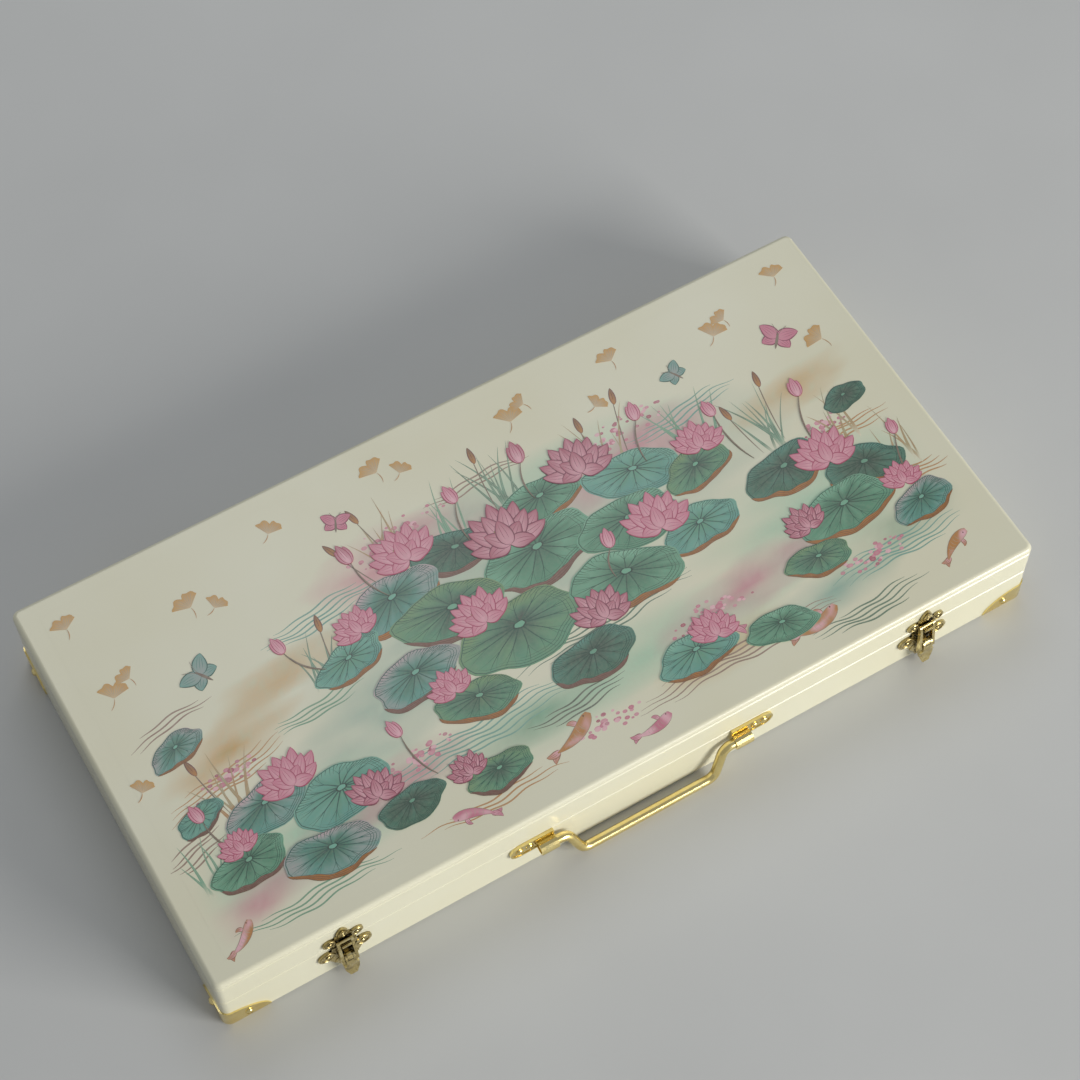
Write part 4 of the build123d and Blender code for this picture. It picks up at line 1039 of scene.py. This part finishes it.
lid_nails, base_nails, lid_cast, base_cast = [bmesh.new() for _ in range(4)]
for side in (-1, 1):
    for nails, cast, ears in ((lid_nails, lid_cast, HOOK_EARS), (base_nails, base_cast, BASE_EARS)):
        apart, up, hoop = ears
        for ear in (-1, 1):
            x = side * LATCH_X + ear * apart
            round_head(nails, NAIL_HEAD, NAIL_RISE, facing(x, LATCH_FACE_Y, up, (0, -1, 0)))
            ring_on(cast, (x, LATCH_FACE_Y, up), hoop)
    for up, wide in SPIRE_BEADS:
        centre = (side * LATCH_X, LATCH_FACE_Y - BEAD_IN_FRONT, up * MM)
        bead_on(lid_cast, centre, Vector((wide, BEAD_DEEP, wide)) * BEAD_GAIN * MM)
    for angle in SHIELD_RIBS:
        turn = math.radians(angle)
        x = side * LATCH_X + math.sin(turn) * RIB_REACH * MM
        centre = Vector((x, LATCH_FACE_Y, (SHIELD_UP - math.cos(turn) * RIB_REACH) * MM))
        bead_on(base_cast, centre, RIB_SIZE, -turn)
for name, bm, body, replaced in (
    ("latch_lid_nail_heads", lid_nails, "lid", "latch_lid_nails"),
    ("latch_base_nail_heads", base_nails, "root", "latch_base_nails"),
    ("latch_lid_ornament", lid_cast, "lid", None),
    ("latch_base_ornament", base_cast, "root", None),
):
    made = new_piece(name, bm, antique, body)
    if replaced:
        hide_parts(replaced)

# The rear hinges: two brass butt hinges, screwed to the back of the lid and base through six
# countersunk holes each. Their leaves and knuckles are the plain ones of the model.
HINGE_X = 150.0 * MM
HINGE_SCREW_PITCH = 50.0 / 3 * MM
HINGE_FACE_Y = 114.5 * MM
HINGE_LID_SCREW_UP = 36.3 * MM
HINGE_BASE_SCREW_UP = 20.0 * MM
HINGE_HEAD = (1.6 * MM, 0.7 * MM)
HINGE_SLOT = (0.2 * MM, 0.35 * MM)
HINGE_BRASS = (0.60, 0.47, 0.20)
HINGE_HIGH = (0.74, 0.62, 0.31)
hinge_brass = brass("hinge_brass", HINGE_BRASS, HINGE_HIGH, 0.42, 0.26)
paint_nodes(hinge_brass, nodes_named("hinge"))
for name, body, up, replaced in (
    ("hinge_lid_screw_heads", "lid", HINGE_LID_SCREW_UP, "hinge_lid_screws"),
    ("hinge_base_screw_heads", "root", HINGE_BASE_SCREW_UP, "hinge_base_screws"),
):
    bm = bmesh.new()
    for side in (-1, 1):
        for step in (-1, 0, 1):
            x = side * HINGE_X + step * HINGE_SCREW_PITCH
            seat = facing(x, HINGE_FACE_Y, up, (0, 1, 0), rng.uniform(0, math.pi))
            round_head(bm, *HINGE_HEAD, seat, *HINGE_SLOT)
    made = new_piece(name, bm, hinge_brass, body, sharp=40)
    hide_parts(replaced)

# The felt: a millimetre of green wool felt glued over the bottom panel, a little uneven where the
# glue has pulled it.
FELT_GREEN = (0.020, 0.105, 0.060)
FELT_PALE = (0.045, 0.165, 0.100)
FELT_WAVE = 0.07 * MM
FELT_WAVES_PER_METRE = 55
FELT_THICK_SHARE = 0.8
felt_wool, tree, shader = new_material("green_felt", 0.95)
fuzz = noise_pattern(tree, 1500.0, 5.0, 0.75)
wool = ramp(tree, fuzz, [(0.3, FELT_GREEN), (0.7, FELT_PALE)])
set_inputs(tree, shader, {"Base Color": wool, "Sheen Weight": 0.5, "Sheen Roughness": 0.6})
bumped(tree, shader, fuzz, 0.6, 0.0004)


def level_grid(columns, rows, half_x, half_y, middle_x, middle_y, up):
    """A level grid, as a new working mesh."""
    bm = bmesh.new()
    bmesh.ops.create_grid(bm, x_segments=columns, y_segments=rows, size=1)
    bmesh.ops.scale(bm, vec=(half_x, half_y, 1), verts=bm.verts)
    bmesh.ops.translate(bm, vec=(middle_x, middle_y, up), verts=bm.verts)
    return bm


low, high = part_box("base_lining")
middle = (low + high) / 2
bm = level_grid(60, 28, (high.x - low.x) / 2, (high.y - low.y) / 2, middle.x, middle.y, high.z)
for vert in bm.verts:
    vert.co.z -= FELT_WAVE * (1 + noise.noise(vert.co * FELT_WAVES_PER_METRE))
bmesh.ops.solidify(bm, geom=bm.faces, thickness=FELT_THICK_SHARE * (high.z - low.z))
felt = new_piece("green_felt_lining", bm, felt_wool)
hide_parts("base_lining")

# The lid's pad: cream satin over thin wadding, quilted in diamonds and drawn down by a small
# covered button at each crossing, then glued under the lid's top panel.
PUFF = 41.0 * MM
PAD_EDGE = 1.0 * MM
PAD_CROWN = 1.95 * MM
PAD_SHOULDER = 9.0 * MM
PAD_FLATNESS = 0.38
PAD_WAVE_SHARE = 0.05
PAD_WAVES_PER_METRE = 90
BUTTON_RADIUS = 2.6 * MM
BUTTON_MARGIN = 12.0 * MM
BUTTON_UNDER = 0.3 * MM
BUTTON_FLATNESS = 0.35
SATIN = (0.70, 0.64, 0.47)
SATIN_PAINTED_SHEEN = (0.80, 0.75, 0.60)
satin, tree, shader = new_material("cream_satin", 0.5)
place = tree.nodes.new("ShaderNodeTexCoord").outputs["Object"]
threads = [
    made_node(
        tree, "ShaderNodeTexWave", {"Vector": place, "Scale": 900.0, "Distortion": 1.2, "Detail": 1.0},
        bands_direction=direction,
    ).outputs["Fac"]
    for direction in ("X", "Y")
]
bumped(tree, shader, calculated(tree, "MULTIPLY", *threads), 0.2, 0.0001)
# Painted sheen: long streaks of paler cream in the base colour stand in for the satin's lustre.
painted_lustre = noise_pattern(tree, 40.0, 3.0, 0.5, (1, 0.2, 1))
satin_with_painted_sheen = ramp(tree, painted_lustre, [(0.35, SATIN), (0.7, SATIN_PAINTED_SHEEN)])
set_inputs(tree, shader, {"Base Color": satin_with_painted_sheen, "Sheen Weight": 0.4, "Sheen Roughness": 0.3})
low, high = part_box("lid_lining")
middle = (low + high) / 2
half_x, half_y = (high.x - low.x) / 2, (high.y - low.y) / 2
bm = level_grid(176, 84, half_x, half_y, middle.x, middle.y, high.z)
bmesh.ops.solidify(bm, geom=bm.faces, thickness=PAD_EDGE)
for vert in bm.verts:
    if vert.co.z < high.z - PAD_EDGE / 2:
        x, y = vert.co.x - middle.x, vert.co.y - middle.y
        across = abs(math.sin(math.pi * (x + y) / PUFF) * math.sin(math.pi * (x - y) / PUFF))
        inwards = min(half_x - abs(x), half_y - abs(y))
        rise = across ** PAD_FLATNESS * min(1.0, max(0.0, inwards / PAD_SHOULDER)) ** 0.5
        rise += PAD_WAVE_SHARE * noise.noise(vert.co * PAD_WAVES_PER_METRE)
        vert.co.z = high.z - PAD_EDGE - PAD_CROWN * min(1.0, max(0.0, rise))
pad = new_piece("quilted_lid_pad", bm, satin, "lid")
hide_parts("lid_lining")
bm = bmesh.new()
columns, rows = int(2 * half_x / PUFF), int(2 * half_y / PUFF)
for column in range(-columns, columns + 1):
    for row in range(-rows, rows + 1):
        x, y = column * PUFF / 2, row * PUFF / 2
        if (column + row) % 2 == 0 and abs(x) < half_x - BUTTON_MARGIN and abs(y) < half_y - BUTTON_MARGIN:
            made = bmesh.ops.create_uvsphere(bm, u_segments=14, v_segments=8, radius=BUTTON_RADIUS)["verts"]
            bmesh.ops.scale(bm, vec=(1, 1, BUTTON_FLATNESS), verts=made)
            seat = (middle.x + x, middle.y + y, high.z - PAD_EDGE - BUTTON_UNDER)
            bmesh.ops.translate(bm, vec=seat, verts=made)
buttons = new_piece("pad_buttons", bm, satin, "lid")

# The store: thin limewood trays, stacked in two layers, with two divider boards let in behind and
# beside them, and four racks of darker rosewood. All are oiled, with the grain along the boards.
LIMEWOOD = ((0.36, 0.22, 0.105), (0.50, 0.335, 0.18), (0.58, 0.41, 0.24))
ROSEWOOD = ((0.085, 0.030, 0.014), (0.17, 0.065, 0.030), (0.27, 0.12, 0.055))
BOXWOOD = ((0.12, 0.048, 0.022), (0.21, 0.09, 0.042), (0.30, 0.145, 0.07))


def oiled_wood(name, tones, along_x=True):
    """Oiled wood: long bands of growth with pores and fine streaks, all along one axis."""
    material, tree, shader = new_material(name, 0.45)
    stretch = (0.05, 1, 1) if along_x else (1, 0.05, 1)
    bands = noise_pattern(tree, 85.0, 3.0, 0.5, stretch)
    streaks = noise_pattern(tree, 900.0, 4.0, 0.6, stretch)
    both = made_node(tree, "ShaderNodeMix", {"Factor": 0.35, "A": bands, "B": streaks}).outputs["Result"]
    set_inputs(tree, shader, {
        "Base Color": ramp(tree, both, list(zip((0.36, 0.5, 0.64), tones))),
        "Roughness": ranged(tree, streaks, 0.3, 0.7, 0.5, 0.34),
    })
    bumped(tree, shader, streaks, 0.25, 0.00015)
    return material


paint_nodes(oiled_wood("limewood_along", LIMEWOOD), nodes_named("tray_") + ["rack_divider"])
paint_nodes(oiled_wood("limewood_across", LIMEWOOD, False), ["end_divider"])
paint_nodes(oiled_wood("rosewood", ROSEWOOD), nodes_named("tile_rack"))

# The tiles: 144 of two-part tiles, an ivory face dovetailed on a green back, polished. They lie
# face up in their trays. The upper layer shows the dots and the bamboos, and the lower is covered.
TILE_PITCH = (22.2 * MM, 30.2 * MM)
TILE_BACK = 5.0 * MM
TILE_JOINT = 0.05 * MM
IVORY = (0.78, 0.72, 0.56)
IVORY_PALE = (0.84, 0.79, 0.65)
BACK_GREEN = (0.020, 0.190, 0.085)
INKS = {
    "blue": (0.020, 0.065, 0.260), "green": (0.012, 0.175, 0.070), "red": (0.420, 0.018, 0.020),
    "ivory": IVORY,
}
PLACES = {
    1: [(0, 0)],
    2: [(0, 7), (0, -7)],
    3: [(-5.4, 8.6), (0, 0), (5.4, -8.6)],
    4: [(-4.6, 7), (4.6, 7), (-4.6, -7), (4.6, -7)],
    5: [(-5.2, 8.4), (5.2, 8.4), (0, 0), (-5.2, -8.4), (5.2, -8.4)],
    6: [(-4.4, 8.6), (4.4, 8.6), (-4.4, 0), (4.4, 0), (-4.4, -8.6), (4.4, -8.6)],
    7: [(-6, 10), (0, 7.4), (6, 4.8), (-4.2, -2.6), (4.2, -2.6), (-4.2, -9.4), (4.2, -9.4)],
    8: [(x, y) for y in (9.9, 3.3, -3.3, -9.9) for x in (-4.4, 4.4)],
    9: [(x, y) for y in (9, 0, -9) for x in (-6, 0, 6)],
}
DOT_RADIUS = {1: 7.4, 2: 4.4, 3: 3.7, 4: 3.6, 5: 3.2, 6: 3.2, 7: 2.6, 8: 2.7, 9: 2.6}
STICK_LENGTH = {2: 11.0, 3: 9.0, 4: 10.5, 5: 8.6, 6: 7.6, 7: 5.6, 8: 5.8, 9: 7.4}
RED_STICKS = ((5, 2), (7, 0), (9, 4))

for layer, names in (
    ("lower", ("tiles_characters", "tiles_honours")), ("upper", ("tiles_dots", "tiles_bamboos"))
):
    material, tree, shader = new_material(f"{layer}_tile_ivory", 0.22)
    place = tree.nodes.new("ShaderNodeTexCoord").outputs["Object"]
    height = made_node(tree, "ShaderNodeSeparateXYZ", {"Vector": place}).outputs["Z"]
    back_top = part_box(names[0])[0].z + TILE_BACK
    face = ranged(tree, height, back_top - TILE_JOINT, back_top + TILE_JOINT, 0.0, 1.0)
    ivory = ramp(tree, noise_pattern(tree, 45.0, 4.0), [(0.35, IVORY), (0.68, IVORY_PALE)])
    colour = blended(tree, face, (*BACK_GREEN, 1), ivory)
    set_inputs(tree, shader, {"Base Color": colour, "Coat Weight": 0.5, "Coat Roughness": 0.08})
    paint_nodes(material, names)

inked, tree, shader = new_material("tile_ink", 0.35)
stroke = made_node(tree, "ShaderNodeAttribute", attribute_name="ink").outputs["Color"]
wear = ramp(tree, noise_pattern(tree, 900.0, 4.0), [(0.3, (0.5, 0.5, 0.5)), (0.6, (1, 1, 1))])
set_inputs(tree, shader, {"Base Color": blended(tree, 0.4, stroke, wear, "MULTIPLY")})


def ink_disc(bm, seat, x, y, wide, tall, colour, rise, segments=14):
    """A round or long spot of enamel on a seat, its edge let into the face."""
    layer = bm.verts.layers.float_color["ink"]
    made = bmesh.ops.create_cone(
        bm, cap_ends=True, cap_tris=False, segments=segments, radius1=1, radius2=0.94, depth=2
    )["verts"]
    bmesh.ops.scale(bm, vec=(wide * MM, tall * MM, rise * MM), verts=made)
    bmesh.ops.translate(bm, vec=(x * MM, y * MM, 0), verts=made)
    bmesh.ops.transform(bm, matrix=seat, verts=made)
    for vert in made:
        vert[layer] = (*INKS[colour], 1)


def dot(bm, seat, x, y, radius, colour):
    ink_disc(bm, seat, x, y, radius, radius, colour, 0.05)
    ink_disc(bm, seat, x, y, radius * 0.70, radius * 0.70, "ivory", 0.07)
    ink_disc(bm, seat, x, y, radius * 0.42, radius * 0.42, colour if radius < 5 else "red", 0.09, 12)


def stick(bm, seat, x, y, length, colour):
    for side in (-1, 1):
        ink_disc(bm, seat, x, y + side * length * 0.25, 0.95, length * 0.27, colour, 0.06, 10)
    ink_disc(bm, seat, x, y, 1.15, 0.35, colour, 0.07, 8)


def sparrow(bm, seat):
    """The single bamboo's bird: a body, a head, a beak and a fan of tail feathers."""
    for index in range(5):
        y = -6.5 - 0.5 * (2 - abs(index - 2))
        ink_disc(bm, seat, -5 + index * 2.2, y, 0.85, 4.4, ("blue", "green")[index % 2], 0.05, 10)
    ink_disc(bm, seat, 0, 1.5, 3.6, 5.6, "green", 0.07)
    ink_disc(bm, seat, 1.2, 1.5, 1.9, 3.4, "blue", 0.09, 12)
    ink_disc(bm, seat, 0.6, 8.6, 2.2, 2.3, "red", 0.08, 12)
    ink_disc(bm, seat, 3.0, 8.8, 1.4, 0.6, "green", 0.06, 8)


def draw_face(bm, seat, suit, number):
    """The dots or sticks of one tile."""
    if suit == "bamboos" and number == 1:
        sparrow(bm, seat)
        return
    for index, (x, y) in enumerate(PLACES[number]):
        if suit == "dots":
            turns = 3 if number in (3, 6, 9) else 2
            dot(bm, seat, x, y, DOT_RADIUS[number], ("blue", "green", "red")[(index + number) % turns])
        else:
            colour = "red" if (number, index) in RED_STICKS else ("green", "blue")[index % 2]
            stick(bm, seat, x, y, STICK_LENGTH[number], colour)


for suit, name in (("dots", "dot_enamel"), ("bamboos", "bamboo_enamel")):
    low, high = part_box(f"tiles_{suit}")
    packed = coloured_bm("ink")
    for column in range(9):
        drawn = coloured_bm("ink")
        for row in range(4):
            x = (low.x + high.x) / 2 + (column - 4) * TILE_PITCH[0]
            y = (low.y + high.y) / 2 + (row - 1.5) * TILE_PITCH[1]
            draw_face(drawn, Matrix.Translation((x, y, high.z)), suit, column + 1)
        poured(packed, meshed(drawn))
    enamel = new_piece(name, packed, inked, smooth=False)

# The dice: three white dice with drilled, enamelled spots, the one and the four in red.
DIE = 14.0 * MM
DIE_PITCH = 18.0 * MM
SPOT_RADIUS = 1.25
LONE_SPOT_RADIUS = 2.1
DICE_LAID = ((5, 1, 4, 6, 3), (2, 6, 3, 1, 4), (4, 5, 1, 2, 6))
SPOTS = {
    1: [(0, 0)], 2: [(-3.2, 3.2), (3.2, -3.2)], 3: [(-3.4, 3.4), (0, 0), (3.4, -3.4)],
    4: [(x, y) for x in (-3.2, 3.2) for y in (-3.2, 3.2)],
    5: [(0, 0)] + [(x, y) for x in (-3.3, 3.3) for y in (-3.3, 3.3)],
    6: [(x, y) for x in (-3.0, 3.0) for y in (-3.7, 0, 3.7)],
}
FACES_OUT = ((0, 0, 1), (0, -1, 0), (1, 0, 0), (0, 1, 0), (-1, 0, 0))
white, tree, shader = new_material("dice_white", 0.2)
pale = ramp(tree, noise_pattern(tree, 60.0), [(0.35, (0.80, 0.79, 0.73)), (0.7, (0.86, 0.85, 0.80))])
set_inputs(tree, shader, {"Base Color": pale, "Coat Weight": 0.5, "Coat Roughness": 0.06})
paint_nodes(white, ["dice"])
low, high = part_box("dice")
bm = coloured_bm("ink")
for index, faces in enumerate(DICE_LAID):
    centre = Vector(((low.x + high.x) / 2, low.y + DIE / 2 + index * DIE_PITCH, low.z + DIE / 2))
    for number, out in zip(faces, FACES_OUT):
        seat = facing(*(centre + Vector(out) * DIE / 2), out)
        radius = LONE_SPOT_RADIUS if number == 1 else SPOT_RADIUS
        for x, y in SPOTS[number]:
            ink_disc(bm, seat, x, y, radius, radius, "red" if number in (1, 4) else "blue", 0.04, 16)
spots = new_piece("dice_spots", bm, inked, smooth=False)

# The wind indicator: a small boxwood drum turned on a lathe, with a foot, two grooves, a dished
# top with a knob, and four brass studs that mark its quarters.
DRUM = (
    (0, 0), (10.6, 0), (11.8, 0.6), (12.4, 1.6), (12.4, 3.2), (11.5, 3.8), (11.5, 4.5), (12.4, 5.1),
    (12.4, 8.4), (11.5, 9.0), (11.5, 9.6), (12.2, 10.2), (11.9, 11.3), (10.6, 11.9), (7.6, 11.3),
    (4.6, 11.2), (3.6, 12.0), (3.2, 13.2), (1.8, 13.9), (0, 14.0),
)
STUD_REACH = 8.9 * MM
STUD_UP = 11.5 * MM
STUD_RADIUS = 1.1 * MM
STUD_RISE = 0.6 * MM
low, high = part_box("wind_indicator")
drum_centre = Vector(((low.x + high.x) / 2, (low.y + high.y) / 2, low.z))
bm = bmesh.new()
turned_on_lathe(bm, [(radius * MM, up * MM) for radius, up in DRUM], 48)
bmesh.ops.recalc_face_normals(bm, faces=bm.faces)
bmesh.ops.translate(bm, vec=drum_centre, verts=bm.verts)
drum = new_piece("turned_indicator", bm, oiled_wood("turned_boxwood", BOXWOOD), sharp=40)
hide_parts("wind_indicator")
bm = bmesh.new()
for quarter in range(4):
    turn = math.tau * quarter / 4
    foot = Vector((STUD_REACH * math.cos(turn), STUD_REACH * math.sin(turn), STUD_UP))
    round_head(bm, STUD_RADIUS, STUD_RISE, Matrix.Translation(drum_centre + foot))
studs = new_piece("indicator_studs", bm, polished)
